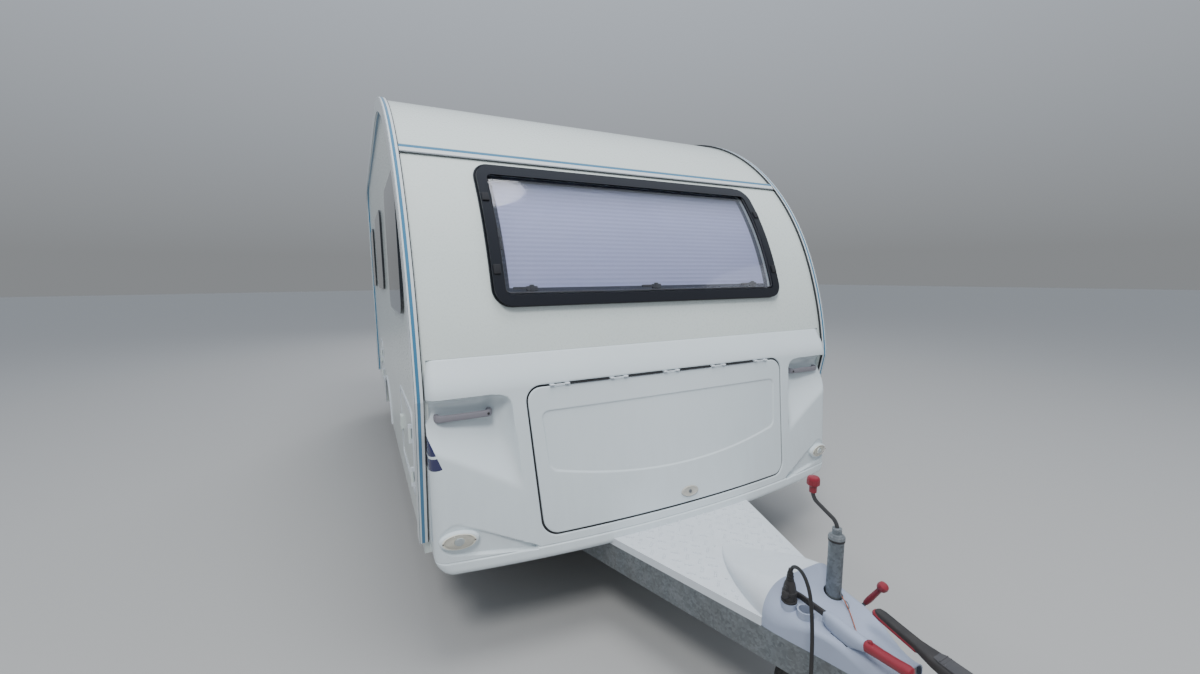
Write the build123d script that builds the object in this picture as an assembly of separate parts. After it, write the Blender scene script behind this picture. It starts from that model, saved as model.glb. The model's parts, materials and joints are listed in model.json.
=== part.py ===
from build123d import *
from math import sin, cos, tan, acos, atan, atan2, pi, radians, degrees
import os

# Travel caravan: +X is the entrance side, -Y is the hitch, +Z is up, and the ground is z = 0.
# All sizes are in millimetres.

# Body
overall_length = 5900
body_width = 2200
skirt_height = 404
wall = 30
drawbar_reach = 1554        # hitch nose to the front wall's knee
knee_height = 1080
knee_lean = 5.4             # degrees from upright, where the curved front starts
front_radius = 1950
front_turn = 17.0           # degrees of the lower arc
crown_radius = 1455
front_foot_set = 134        # how far the front wall's foot is set back
rear_crown_radius = 260
bumper_depth = 40
bumper_top = 720
plate_half = 270            # recess for a plate in the bumper
plate_tall = 130
plate_low = 470
plate_deep = 12
lamp_side = 20              # bumper's side to a tail lamp
lamp_wide = 130
lamp_tall = 340
lamp_lift = 20
lamp_thick = 32
lamp_corner = 24
light_base = 22
light_dome = 28
floor_height = 500
floor_thick = 45

# Edge rails and the joint strip
rail_out = 20
rail_proud = 12
rail_side = 60
rail_front = 35
strip_height = 2086
strip_depth = 40
strip_proud = 10

# Moulded front panel and gas locker
panel_inset = 17            # the moulding's side, inside the body's side
panel_top = 1230
panel_lap = 18              # its top edge, behind the knee on the sloping wall
panel_shoulder = 60         # down to the row between its top edge and the lid
shoulder_lead = 16
panel_skin = 30
panel_depth = 146           # its rear flange, behind the knee
panel_corner = 45
panel_foot = 70             # corner radius at the foot, seen from the front
lip_height = 52
lip_proud = 3
lip_round = 28
face_lead = 47              # the face ahead of the knee, at the lid's top edge
face_slope = 0.131          # how much further it leads for each unit below that
face_bow = 0.168            # growth of the bow between its middle and sides, likewise
locker_depth = 296          # knee to the bulkhead
bulkhead_thick = 25
lid_top = 1095
lid_bottom = 500
lid_side_top = 380          # panel's side to the lid's top corner
lid_side_low = 417
lid_corner = 60
lid_gap = 7
lid_hinge_radius = 4.5
lid_hinge_proud = 5.5
lid_hinge_step = 280
lid_hinge_count = 5
lid_panel_deep = 4          # the lid's recessed panel
lid_panel_corner = 35
lock_x = 34
lock_z = 548
recess_top = 1087
recess_deep = 26            # handle recess floor, behind the knee
recess_foot = 975           # where the floor turns into a ramp
recess_ramp = 0.595         # the ramp's lead for each unit of its drop
recess_side = 313           # panel's side to the recess's inner wall
recess_round = 45
recess_skin = 8
lamp_set = 94               # panel's side to the marker lamp
lamp_z = 545
lamp_half = 58
lamp_half_height = 29
lamp_proud = 16
seat_round = 46
seat_tip_set = 378          # panel's side to the tip of the lamp's seat
seat_tip_z = 462
seat_deep = 3
handle_lead = 8             # grab handle, ahead of the knee
handle_z = 1005
handle_radius = 10
handle_inner = 243          # panel's side to the handle's inner foot
handle_outer = 40

# Windows
glass = 5
pane_set = 12               # pane behind the frame's face
window_fit = 2
frame_proud = 26
frame_band = 46
front_window_side = 310     # body's side to the frame
front_window_low = 1421
front_window_high = 2034
front_window_corner = 70
rear_window_side = 540
rear_window_low = 1400
rear_window_high = 1960
rear_window_corner = 60
blind_gap = 14
blind_thick = 10
side_window_frame = 26
side_window_proud = 14

# Doors
door_low = 560
door_high = 2250
door_wide = 600
door_set = 1416             # knee to the door's front edge
door_corner = 80
door_sill_gap = 120         # door's edge to its window, at the sides
door_window_low = 1500
door_window_high = 2080
door_window_corner = 50
door_hinge_at = (760, 1400, 2080)
door_gap = 6
hinge_radius = 7
hinge_lift = 1.5            # between a moving knuckle and the frame under it
hinge_pin = 2.5
hinge_half = 25             # half the length of a moving knuckle
hinge_end = 18              # length of a fixed knuckle
hinge_play = 0.3
pin_clear = 0.05
hinge_set = 10
hinge_leaf = 7
leaf_long = 40
service_corner = 30
service_hinge_set = 80      # door's edge to a hinge's middle
latch_proud = 14
frame_flange = 22
frame_out = 4

# Running gear
tyre_radius = 307
tyre_width = 185
rim_radius = 182
track_set = 150             # body's side to the tyre's middle
axle_set = 2491             # knee to the axle
arch_radius = 378
arch_skin = 6
trim_band = 28
trim_proud = 8
axle_tube_radius = 45
arm_reach = 160
axle_tube_height = 300
stub_radius = 18
drum_radius = 115
drum_set = 165              # tyre's middle to the drum's inner face
drum_thick = 62
arm_thick = 45
hub_radius = 66
rim_half = 74
rim_holes = 10
rim_hole_circle = 140
rim_hole_radius = 12
disc_set = 41               # wheel disc's back face, inside the wheel's middle

# Chassis
rail_x = 540
rail_web = 5
rail_flange = 50
rail_bottom = 350
hole_step = 300
hole_radius = 42
rail_start = 216            # knee to the rails' front ends
rail_end = 460              # rails' rear ends to the rear wall
drawbar_apex = 200          # hitch nose to where the drawbar's outer edges would meet
drawbar_spread = 0.317
drawbar_deep = 110
drawbar_top = 400
drawbar_wide = 50
drawbar_front = 190         # from that point to the legs' front ends
drawbar_length = 1900
drawbar_skin = 6
gland_radius = 9
gland_long = 18
brake_rod_radius = 6
brake_rod_z = 388
rod_lug_half = 14

# Coupling
ball_radius = 25
ball_clear = 0.25
head_radius = 56
ball_height = 430
tube_height = 434
tube_radius = 26
neck_long = 190
tube_long = 420
saddle_half = 40
saddle_front = 330          # ball to the saddle
saddle_rear = 560
grip_back_set = 480         # hitch nose to the stabiliser handle's rear end
grip_back_z = 556
grip_half = 24
lever_side = 70             # handbrake lever, beside the middle
lever_knee_set = 505        # hitch nose to where its grip starts
lever_knee_z = 505
lever_tip_set = 350
lever_tip_z = 520

# Cover and fairing
cover_lap = 134             # knee to the cover's rear edge
deck_rise = 31
hood_set = 750              # hitch nose to the hood, where cover and fairing meet
hood_top = 538
hood_wide = 340
fairing_long = 370
hood_low = 90               # how far the sections reach below the drawbar's top
flat_top = 472
plug_rows = ((-108, 51), (-94, 103))     # x, and ahead of the hood
plug_radius = 20
plug_sunk = 46
ring_radius = 26
ring_play = 0.5
ring_top = 500
ring_wall = 4
lead_top = 580

# Cords. Each row: x, y, z
lead_radius = 5.5
gland_set = 575             # hitch nose to the gland under the leg that the lead goes into
lead_route = (
    (-108, -2251, 580), (-108, -2251, 612), (-114, -2276, 636), (-130, -2318, 640), (-144, -2354, 608),
    (-157, -2374, 553), (-168, -2388, 490), (-179, -2398, 420), (-188, -2405, 345), (-194, -2412, 260),
    (-194, -2418, 150), (-165, -2420, 120), (-123, -2412, 120), (-94, -2400, 150), (-94, -2375, 240),
    (-94, -2375, 272),
)
breakaway_radius = 1.5
breakaway_route = (
    (-51, -2452, 503), (-30, -2430, 488), (2, -2401, 480), (32, -2368, 482), (56, -2336, 488), (66, -2306, 500),
)

# Jockey wheel
mast_x = 70
mast_set = 672              # hitch nose to the mast
mast_radius = 24
mast_wall = 3
mast_low = 300
mast_high = 685
inner_radius = 20.6
jockey_radius = 110
jockey_width = 62
jockey_trail = 62
jockey_turn = 42            # degrees the fork is turned from straight back, towards -X
crank_turn = 125
crank_reach = 78
crank_radius = 6.5
clamp_z = 365
clamp_screw = 7
clamp_reach = 30
clamp_handle_y = 96
clamp_handle_z = 165
fork_top = 262
swivel_play = 0.3

# Corner steadies
steady_set = 250            # body's side to a leg
steady_length = 560
steady_pivot_height = 448
steady_front = 836          # knee to the front pivots
steady_rear = 1060          # rear pivots to the rear wall

# Worked out from the sizes above
nose = -overall_length / 2
tail = overall_length / 2
half = body_width / 2
inside = half - wall
body_front = nose + drawbar_reach
body_rear = tail - bumper_depth
front_bottom = body_front + panel_depth
panel_half = half - panel_inset
lid_half_top = panel_half - lid_side_top
lid_half_bottom = panel_half - lid_side_low
front_window_half = half - front_window_side
rear_window_half = half - rear_window_side
axle_y = body_front + axle_set
door_front = body_front + door_set
wheel_track_half = half - track_set
drum_inner = wheel_track_half - drum_set
wheel_box_inner = wheel_track_half - track_set
rails_front = body_front + rail_start
rails_rear = body_rear - rail_end
steady_x = half - steady_set
ball_y = nose + head_radius
mast_y = nose + mast_set
apex_y = nose + drawbar_apex
floor_top = floor_height + floor_thick
roof_top = knee_height + front_radius * (sin(radians(knee_lean + front_turn)) - sin(radians(knee_lean))) \
    + crown_radius * (1 - sin(radians(knee_lean + front_turn)))
run = 4 * half              # long enough to pass through everything

os.makedirs("parts", exist_ok=True)
made = {}


def keep(node, shape):
    made[node] = shape
    export_step(shape, f"parts/{node}.step")


def block(x0, x1, y0, y1, z0, z1):
    return Pos((x0 + x1) / 2, (y0 + y1) / 2, (z0 + z1) / 2) * Box(x1 - x0, y1 - y0, z1 - z0)


def across(face, x0, x1):
    """A face drawn in (y, z), run along X."""
    return Pos(x0, 0, 0) * extrude(Plane.YZ * face, x1 - x0)


def along(face, y0, y1):
    """A face drawn in (x, z), run along Y."""
    return Pos(0, y1, 0) * extrude(Plane.XZ * face, y1 - y0)


def upward(face, z0, z1):
    return Pos(0, 0, z0) * extrude(face, z1 - z0, dir=(0, 0, 1))


def rod_x(radius, x0, x1, y, z):
    return Pos((x0 + x1) / 2, y, z) * Rot(0, 90, 0) * Cylinder(radius, x1 - x0)


def rod_y(radius, y0, y1, x, z):
    return Pos(x, (y0 + y1) / 2, z) * Rot(90, 0, 0) * Cylinder(radius, y1 - y0)


def rod_z(radius, z0, z1, x, y):
    return Pos(x, y, (z0 + z1) / 2) * Cylinder(radius, z1 - z0)


def both(shape):
    """A piece and its mirror image on the other side."""
    return Compound(children=[shape, mirror(shape, Plane.YZ)])


def knuckle_pair(radius):
    """Fixed and moving knuckles on the local X axis."""
    far = hinge_half + hinge_play + hinge_end
    moving = rod_x(radius, -hinge_half, hinge_half, 0, 0)
    moving -= rod_x(hinge_pin + pin_clear, -far, far, 0, 0)
    fixed = rod_x(radius, -far, -hinge_half - hinge_play, 0, 0)
    fixed += rod_x(radius, hinge_half + hinge_play, far, 0, 0)
    fixed += rod_x(hinge_pin, -far, far, 0, 0)
    return fixed, moving


def rounded(u0, u1, v0, v1, corner):
    return Pos((u0 + u1) / 2, (v0 + v1) / 2) * RectangleRounded(u1 - u0, v1 - v0, corner)


# Body outline, seen from the side
def body_outline():
    lean = radians(knee_lean)
    low = JernArc(start=(body_front, knee_height), tangent=(sin(lean), cos(lean)),
                  radius=front_radius, arc_size=-front_turn)
    high = JernArc(start=low @ 1, tangent=low % 1, radius=crown_radius,
                   arc_size=-(90 - knee_lean - front_turn))
    crown = high @ 1
    rear_start = (body_rear - rear_crown_radius, crown.Y)
    roof = Line((crown.X, crown.Y), rear_start)
    rear = JernArc(start=rear_start, tangent=(1, 0), radius=rear_crown_radius, arc_size=-90)
    foot = Polyline((body_rear, crown.Y - rear_crown_radius), (body_rear, skirt_height),
                    (body_front + front_foot_set, skirt_height), (body_front, knee_height))
    return make_face(low + high + roof + rear + foot)


outline = body_outline()
shell = across(outline, -inside, inside) - across(offset(outline, amount=-wall), -run, run)


def front_zone(z0, z1):
    return block(-run, run, body_front - run, body_front + crown_radius, z0, z1)


# Windows in the sides: a frame and its pane are one moulding. Each row: side, y0, y1, z0, z1, corner
side_windows = (
    (1, body_front + 436, body_front + 1136, 1400, 1985, 60),
    (-1, body_front + 436, body_front + 1136, 1400, 1985, 60),
    (1, body_rear - 1350, body_rear - 650, 1400, 1985, 60),
    (-1, body_front + 1856, body_front + 2606, 1480, 1985, 60),
    (-1, body_rear - 1010, body_rear - 410, 1480, 1985, 60),
)

# Service doors in the side walls. Each row: name, side, y0, y1, z0, z1
service_doors = (
    ("locker_door", -1, body_front + 376, body_front + 976, 570, 930),
    ("cassette_door", -1, axle_y + 520, axle_y + 880, 570, 920),
)


def side_panel(face, side, x0, x1):
    return across(face, x0, x1) if side > 0 else across(face, -x1, -x0)


def window_face(row, grow=0):
    side, y0, y1, z0, z1, corner = row
    return rounded(y0 - grow, y1 + grow, z0 - grow, z1 + grow, corner + grow)


def service_face(row, grow=0):
    name, side, y0, y1, z0, z1 = row
    return rounded(y0 - grow, y1 + grow, z0 - grow, z1 + grow, service_corner + grow)


def door_face(grow=0):
    return rounded(door_front - grow, door_front + door_wide + grow, door_low - grow,
                   door_high + grow, door_corner + grow)


arch_face = Pos(axle_y, tyre_radius) * Circle(arch_radius)


# Side walls
def side_wall(side):
    wall_piece = side_panel(outline, side, inside, half)
    wall_piece -= side_panel(arch_face, side, inside - 1, half + 1)
    for row in side_windows:
        if row[0] == side:
            wall_piece -= side_panel(window_face(row), side, inside - 1, half + 1)
    for row in service_doors:
        if row[1] == side:
            wall_piece -= side_panel(service_face(row), side, inside - 1, half + 1)
    if side > 0:
        wall_piece -= side_panel(door_face(), side, inside - 1, half + 1)
    return wall_piece


keep("side_wall_left", side_wall(1))
keep("side_wall_right", side_wall(-1))


def front_window_face(grow=0):
    wide = front_window_half + grow
    return rounded(-wide, wide, front_window_low - grow, front_window_high + grow, front_window_corner + grow)


def rear_window_face(grow=0):
    wide = rear_window_half + grow
    return rounded(-wide, wide, rear_window_low - grow, rear_window_high + grow, rear_window_corner + grow)


def through_front(face):
    return along(face, body_front - run / 4, body_front + crown_radius)


front_wall = shell & front_zone(panel_top, strip_height)
front_wall -= through_front(front_window_face(-frame_band))
keep("front_wall", front_wall)

rear_turn = roof_top - rear_crown_radius    # height where the rear wall starts to curve into the roof
roof_zone = front_zone(strip_height, roof_top + wall)
roof_zone += block(-run, run, body_front + crown_radius, tail, rear_turn, roof_top + wall)
keep("roof_panel", shell & roof_zone)

rear_wall = block(-inside, inside, body_rear - wall, body_rear, skirt_height, rear_turn)
rear_wall -= along(rear_window_face(), body_rear - 2 * wall, body_rear + wall)
keep("rear_wall", rear_wall)


# Front window: a frame bonded on the curved wall, one pane bulging in it and a blind behind
def band(out0, out1):
    """The layer between two distances outside the body's outline."""
    return across(offset(outline, amount=out1), -run / 4, run / 4) - across(
        offset(outline, amount=out0), -run / 2, run / 2)


window_hole = through_front(front_window_face(-frame_band))
keep("front_window_frame", band(0, frame_proud) & through_front(front_window_face()) - window_hole)
keep("front_window_pane", band(frame_proud - pane_set - glass, frame_proud - pane_set) & window_hole)
keep("front_window_blind", band(-blind_gap - blind_thick, -blind_gap) & window_hole)

panes = []
for row in side_windows:
    side = row[0]
    pane = side_panel(window_face(row, side_window_frame), side, half, half + side_window_proud)
    panes.append(pane + side_panel(window_face(row, -window_fit), side, half - wall / 2, half))
keep("side_windows", Compound(children=panes))
keep("rear_window", along(rear_window_face(side_window_frame), body_rear, body_rear + side_window_proud))


# Edge rails along the front, the roof and the back of each side
def edge_rail(side):
    outer = offset(outline, amount=rail_proud)
    flange = side_panel(outer, side, half, half + rail_out)
    flange -= side_panel(offset(outline, amount=-rail_side), side, half - 1, half + rail_out + 1)
    cap = side_panel(outer, side, half + rail_out - rail_front, half + rail_out)
    cap -= side_panel(outline, side, half - run / 4, half + run / 4)
    rail = flange + cap
    return rail - block(-run, run, nose, tail, 0, skirt_height + rail_side)


keep("edge_rails", Compound(children=[edge_rail(1), edge_rail(-1)]))
strip_half = half + rail_out - rail_front
strip = band(0, strip_proud) & block(-strip_half, strip_half, body_front - wall, body_front + crown_radius,
                                     strip_height - strip_depth / 2, strip_height + strip_depth / 2)
keep("front_strip", strip)


# Moulded front panel: level sections, flat across at the top and ever more bowed towards the foot
def panel_row(z):
    """Height, lead of the face at its middle and lead at its sides, ahead of the knee."""
    drop = lid_top - z
    bow = face_bow * drop
    middle = face_lead + face_slope * drop + bow * (lid_half_top / panel_half) ** 2
    return z, middle, middle - bow


panel_rows = (
    (panel_top, -panel_lap, -panel_lap),
    (panel_top - panel_shoulder, shoulder_lead, shoulder_lead),
    panel_row(lid_top),
    panel_row((lid_top + lid_bottom) / 2),
    panel_row(lid_bottom),
    panel_row(skirt_height),
)


def panel_section(z, middle, side, inset):
    wide = panel_half - inset
    y_middle = body_front - middle + inset
    y_side = body_front - side + inset
    front = ThreePointArc((-wide, y_side), (0, y_middle - 0.01), (wide, y_side))
    sides = Polyline((wide, y_side), (wide, front_bottom), (-wide, front_bottom), (-wide, y_side))
    face = make_face(front + sides)
    corners = face.vertices().group_by(Axis.Y)[0]
    return Pos(0, 0, z) * fillet(corners, panel_corner - inset)


def panel_volume(inset):
    return loft([panel_section(z, m, s, inset) for z, m, s in panel_rows])


panel_outer = panel_volume(0)
lip = panel_volume(-lip_proud)
foot_edges = lip.faces().sort_by(Axis.Z)[0].edges().filter_by(lambda e: e.center().Y < front_bottom - 1)
lip = fillet(foot_edges, lip_round) & front_zone(0, skirt_height + lip_height)
foot = rounded(-panel_half - lip_proud, panel_half + lip_proud, skirt_height, panel_top + panel_foot, panel_foot)
panel_outer = ((panel_outer & front_zone(skirt_height + lip_height, panel_top)) + lip) & through_front(foot)
panel_inner = panel_volume(panel_skin) & front_zone(skirt_height + panel_skin, panel_top - panel_skin)


def lid_face(grow=0):
    points = ((-lid_half_bottom, lid_bottom), (lid_half_bottom, lid_bottom), (lid_half_top, lid_top),
              (-lid_half_top, lid_top))
    shape = make_face(Polyline(*points, close=True))
    shape = fillet(shape.vertices(), lid_corner)
    return offset(shape, amount=grow) if grow else shape


def lid_panel_face():
    """The lid's recessed panel, with a smiling lower edge."""
    top, low, dip = lid_top - 100, lid_bottom + 257, lid_bottom + 181
    wide_top, wide_low = lid_half_top - 58, lid_half_bottom - 40
    smile = ThreePointArc((-wide_low, low), (0, dip), (wide_low, low))
    rest = Polyline((wide_low, low), (wide_top, top), (-wide_top, top), (-wide_low, low))
    shape = make_face(smile + rest)
    return fillet(shape.vertices(), lid_panel_corner)


# Handle recess: a rounded pocket whose floor turns into a ramp, open to the panel's side
def recess_cutter(side, grow=0):
    back = body_front + recess_deep + grow
    top = recess_top + grow
    far = body_front - run / 4
    low = recess_foot - (back - far) / recess_ramp
    profile = make_face(Polyline((far, top), (back, top), (back, recess_foot), (far, low), close=True))
    inner = panel_half - recess_side - grow
    cutter = side_panel(profile, side, inner, half + wall)
    soft = cutter.edges().filter_by(lambda e: abs(e.center().X) < inner + 1 or e.center().Z > top - 1)
    soft = soft.filter_by(lambda e: e.center().Y > far + 1 and abs(e.center().X) < half)
    return fillet(soft, recess_round + grow)


def lamp_seat(side):
    """A drop-shaped seat with an upright floor, so that the lamp faces forward."""
    lamp_at = Vector(panel_half - lamp_set, lamp_z)
    tip_at = Vector(panel_half - seat_tip_set, seat_tip_z)
    tip_round = seat_round / 6
    away = lamp_at - tip_at
    heading = atan2(away.Y, away.X)
    lean = acos((seat_round - tip_round) / away.length)
    corners = []
    for turn in (heading - lean, heading + lean):
        aside = Vector(cos(turn), sin(turn))
        corners += [lamp_at + aside * seat_round, tip_at + aside * tip_round]
    corners[2:] = reversed(corners[2:])
    drop = through_front(Pos(lamp_at.X, lamp_at.Y) * Circle(seat_round))
    drop += through_front(make_face(Polyline(*corners, close=True)))
    drop += through_front(Pos(tip_at.X, tip_at.Y) * Circle(tip_round))
    top = lamp_z + seat_round
    floor_face = Pos(0, 0, -top) * panel_section(*panel_row(top), seat_deep)
    drop -= upward(floor_face, seat_tip_z - seat_round, top + seat_round)
    return drop if side > 0 else mirror(drop, Plane.YZ)


front_panel = panel_outer - panel_inner
for side in (-1, 1):
    front_panel += recess_cutter(side, recess_skin) & panel_outer
for side in (-1, 1):
    front_panel -= recess_cutter(side)
    front_panel -= side_panel(outline, side, inside, half)
    front_panel -= lamp_seat(side)
front_panel -= through_front(lid_face(lid_gap))
keep("front_panel", front_panel)

lid = (panel_outer - panel_inner) & through_front(lid_face())
lid -= through_front(lid_panel_face()) - panel_volume(lid_panel_deep)
lock = along(Pos(lock_x, lock_z) * Ellipse(30, 17), body_front - run / 4, body_front)
lid += lock & panel_volume(-5) - panel_volume(5)
lid_axis_y = body_front - face_lead - lid_hinge_proud
lid_axis_z = lid_top + lid_gap / 2
lid_hinges = []
for number in range(lid_hinge_count):
    x = (number - (lid_hinge_count - 1) / 2) * lid_hinge_step
    place = Pos(x, lid_axis_y, lid_axis_z)
    fixed, moving = knuckle_pair(lid_hinge_radius)
    far = hinge_half + hinge_play + hinge_end
    for x0, x1 in ((-far, -hinge_half - hinge_play), (hinge_half + hinge_play, far)):
        fixed += block(x0, x1, 0, panel_skin, 0, lid_gap / 2)
    lid_hinges.append(place * fixed)
    web = block(-hinge_half, hinge_half, 0, panel_skin, -lid_gap / 2, 0)
    lid += place * (moving + web - rod_x(hinge_pin + pin_clear, -far, far, 0, 0))
keep("locker_lid", lid)


# Grab handles in the recesses and marker lamps in their seats
def bent_bar(points, radius, bend):
    path = FilletPolyline(*points, radius=bend) if len(points) > 2 else Line(*points)
    return sweep(Plane(origin=path @ 0, z_dir=path % 0) * Circle(radius), path)


handle_y = body_front - handle_lead
handle_feet = (panel_half - handle_inner, panel_half - handle_outer)
recess_floor = body_front + recess_deep
grip = bent_bar([(handle_feet[0], recess_floor, handle_z), (handle_feet[0], handle_y, handle_z),
                 (handle_feet[1], handle_y, handle_z), (handle_feet[1], recess_floor, handle_z)],
                handle_radius, handle_radius * 1.6)
for x in handle_feet:
    grip += rod_y(handle_radius * 1.5, recess_floor - 4, recess_floor, x, handle_z)
keep("grab_handles", both(grip))

lamp_floor = body_front - panel_row(lamp_z + seat_round)[2]
marker = along(Pos(panel_half - lamp_set, lamp_z) * Ellipse(lamp_half, lamp_half_height), nose, body_front)
marker &= panel_volume(-lamp_proud)
marker -= panel_outer - lamp_seat(1)
keep("marker_lamps", both(marker))

bulkhead_y = body_front + locker_depth
keep("locker_bulkhead", block(-inside, inside, bulkhead_y, bulkhead_y + bulkhead_thick, floor_top, panel_top))

# Floor, with the wheel boxes
box_face = Pos(axle_y, tyre_radius) * Circle(arch_radius + arch_skin)
floor = block(-inside, inside, front_bottom, body_rear - wall, floor_height, floor_top)
floor += block(-inside, inside, front_bottom, front_bottom + wall, skirt_height, floor_height)
wheel_boxes = []
for side in (-1, 1):
    floor -= side_panel(box_face, side, wheel_box_inner - arch_skin, inside + 1)
    hood = side_panel(box_face, side, wheel_box_inner - arch_skin, inside)
    hood -= side_panel(arch_face, side, wheel_box_inner, inside + 1)
    hood &= block(-run, run, nose, tail, floor_height, roof_top)
    wheel_boxes.append(hood)
keep("floor_panel", floor)
keep("wheel_boxes", Compound(children=wheel_boxes))

trim_ring = Pos(axle_y, tyre_radius) * (Circle(arch_radius + trim_band) - Circle(arch_radius))
trims = [side_panel(trim_ring, side, half, half + trim_proud) & block(-run, run, nose, tail, skirt_height, roof_top)
         for side in (-1, 1)]
keep("arch_trims", Compound(children=trims))

# Rear bumper panel, with a recess for a plate, and lamps
bumper = block(-panel_half, panel_half, body_rear, tail, skirt_height, bumper_top)
bumper = fillet(bumper.edges().filter_by(Axis.Z).group_by(Axis.Y)[-1], bumper_depth * 0.8)
plate = rounded(-plate_half, plate_half, plate_low, plate_low + plate_tall, 12)
bumper -= along(plate, tail - plate_deep, tail + 1)
keep("rear_bumper", bumper)
lamp = block(panel_half - lamp_side - lamp_wide, panel_half - lamp_side, body_rear, body_rear + lamp_thick,
             bumper_top + lamp_lift, bumper_top + lamp_lift + lamp_tall)
lamp = fillet(lamp.edges().filter_by(Axis.Y), lamp_corner)
keep("tail_lamps", both(lamp))

# Roof lights. Each row: y, width, length
roof_lights = ((body_front + 1800, 700, 500), (body_rear - 1060, 400, 400))
lights = []
for y, wide, long in roof_lights:
    base = Pos(0, y) * RectangleRounded(wide, long, 50)
    dome = Pos(0, y) * RectangleRounded(wide - 60, long - 60, 40)
    lights.append(upward(base, roof_top, roof_top + light_base) + upward(
        dome, roof_top + light_base, roof_top + light_base + light_dome))
keep("roof_lights", Compound(children=lights))


def upright_hinge(side, y, z, edge):
    """A door hinge on the wall's outside; edge is where the door's own face begins."""
    turn = Pos(door_axis_x, y, z) * Rot(0, 90, 0)
    fixed, moving = knuckle_pair(hinge_radius)
    fixed = turn * fixed
    moving = turn * moving
    far = hinge_half + hinge_play + hinge_end
    for z0, z1 in ((z - far, z - hinge_half - hinge_play), (z + hinge_half + hinge_play, z + far)):
        fixed += block(half + frame_out, door_axis_x, y - hinge_radius, y, z0, z1)
    leaf = block(door_axis_x - hinge_leaf, door_axis_x, y, edge + leaf_long, z - hinge_half, z + hinge_half)
    leaf += block(half, door_axis_x - hinge_leaf, edge + 2, edge + leaf_long, z - hinge_half, z + hinge_half)
    moving += leaf - rod_z(hinge_pin + pin_clear, z - far, z + far, door_axis_x, y)
    return (fixed, moving) if side > 0 else (mirror(fixed, Plane.YZ), mirror(moving, Plane.YZ))


def latch(side, y, z, long, tall):
    """A proud latch body with a finger scoop."""
    body = side_panel(rounded(y - long / 2, y + long / 2, z - tall / 2, z + tall / 2, long / 3), side,
                      half, half + latch_proud)
    scoop = rounded(y - long / 3, y + long / 3, z - tall / 4, z + tall / 4, long / 5)
    return body - side_panel(scoop, side, half + latch_proud / 2, half + latch_proud + 1)


# Entrance door
door_axis_x = half + frame_out + hinge_lift + hinge_radius
door_axis_y = door_front - hinge_set
door_panel = side_panel(door_face(-door_gap), 1, inside + 2, half)
door_window = rounded(door_front + door_sill_gap, door_front + door_wide - door_sill_gap, door_window_low,
                      door_window_high, door_window_corner)
door_panel -= side_panel(door_window, 1, inside, half + 1)
door_hinges = []
for z in door_hinge_at:
    fixed, moving = upright_hinge(1, door_axis_y, z, door_front + door_gap)
    door_hinges.append(fixed)
    door_panel += moving
door_panel += latch(1, door_front + door_wide - 60, 1200, 70, 150)
keep("entrance_door", door_panel)
keep("door_window", side_panel(door_window, 1, half - 12, half - 6))
door_flange = side_panel(door_face(frame_flange), 1, half, half + frame_out)
door_flange -= side_panel(door_face(), 1, half - 1, half + frame_out + 1)

# Service doors
for row in service_doors:
    name, side, y0, y1, z0, z1 = row
    door = side_panel(service_face(row, -door_gap), side, inside + 2, half)
    for z in (z0 + service_hinge_set, z1 - service_hinge_set):
        fixed, moving = upright_hinge(side, y0 - hinge_set, z, y0 + door_gap)
        door_hinges.append(fixed)
        door += moving
    door += latch(side, y1 - 50, (z0 + z1) / 2, 45, 90)
    keep(name, door)
keep("body_hinges", Compound(children=lid_hinges + door_hinges))
frames = [door_flange]
for row in service_doors:
    side = row[1]
    ring = side_panel(service_face(row, frame_flange), side, half, half + frame_out)
    frames.append(ring - side_panel(service_face(row), side, half - 1, half + frame_out + 1))
keep("door_frames", Compound(children=frames))


# Chassis rails, folded channels with lightening holes
def chassis_rail(side):
    web = side_panel(rounded(rails_front, rails_rear, rail_bottom, floor_height, 1), side, rail_x, rail_x + rail_web)
    y = rails_front + hole_step
    while y < rails_rear - hole_step / 2:
        web -= side_panel(Pos(y, (rail_bottom + floor_height) / 2) * Circle(hole_radius), side, rail_x - 1,
                          rail_x + rail_web + 1)
        y += hole_step
    for z0, z1 in ((rail_bottom, rail_bottom + rail_web), (floor_height - rail_web, floor_height)):
        flange = block(rail_x, rail_x + rail_flange, rails_front, rails_rear, z0, z1)
        web += flange if side > 0 else mirror(flange, Plane.YZ)
    return web


keep("chassis_rails", Compound(children=[chassis_rail(1), chassis_rail(-1)]))

# Drawbar legs, channels that run in to the hitch
leg_place = Pos(drawbar_spread * drawbar_front, apex_y + drawbar_front, 0) * Rot(
    0, 0, -degrees(atan(drawbar_spread)))


def leg_volume():
    return leg_place * block(-drawbar_wide, 0, 0, drawbar_length, drawbar_top - drawbar_deep, drawbar_top)


def drawbar_leg(side):
    hollow = block(-drawbar_wide - 1, -drawbar_skin, -1, drawbar_length + 1,
                   drawbar_top - drawbar_deep + drawbar_skin, drawbar_top - drawbar_skin)
    leg = leg_volume() - leg_place * hollow
    leg &= block(0, rail_x, nose, tail, 0, floor_height)
    return leg if side > 0 else mirror(leg, Plane.YZ)


def edge_x(y):
    """Half the drawbar's width over its outer edges."""
    return drawbar_spread * (y - apex_y)


gland_y = nose + gland_set
gland_x = drawbar_wide / 2 - edge_x(gland_y)
leg_bottom = drawbar_top - drawbar_deep
right_leg = drawbar_leg(-1) + rod_z(gland_radius, leg_bottom - gland_long, leg_bottom, gland_x, gland_y)
left_leg = drawbar_leg(1) - rod_x(clamp_screw + 1, 0, half, mast_y, clamp_z)
keep("drawbar_legs", Compound(children=[left_leg, right_leg]))
members = [block(-rail_x, rail_x, y - 20, y + 20, floor_height - 75, floor_height)
           for y in (rails_front + 380, axle_y - 945, rails_rear - 60)]

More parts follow.
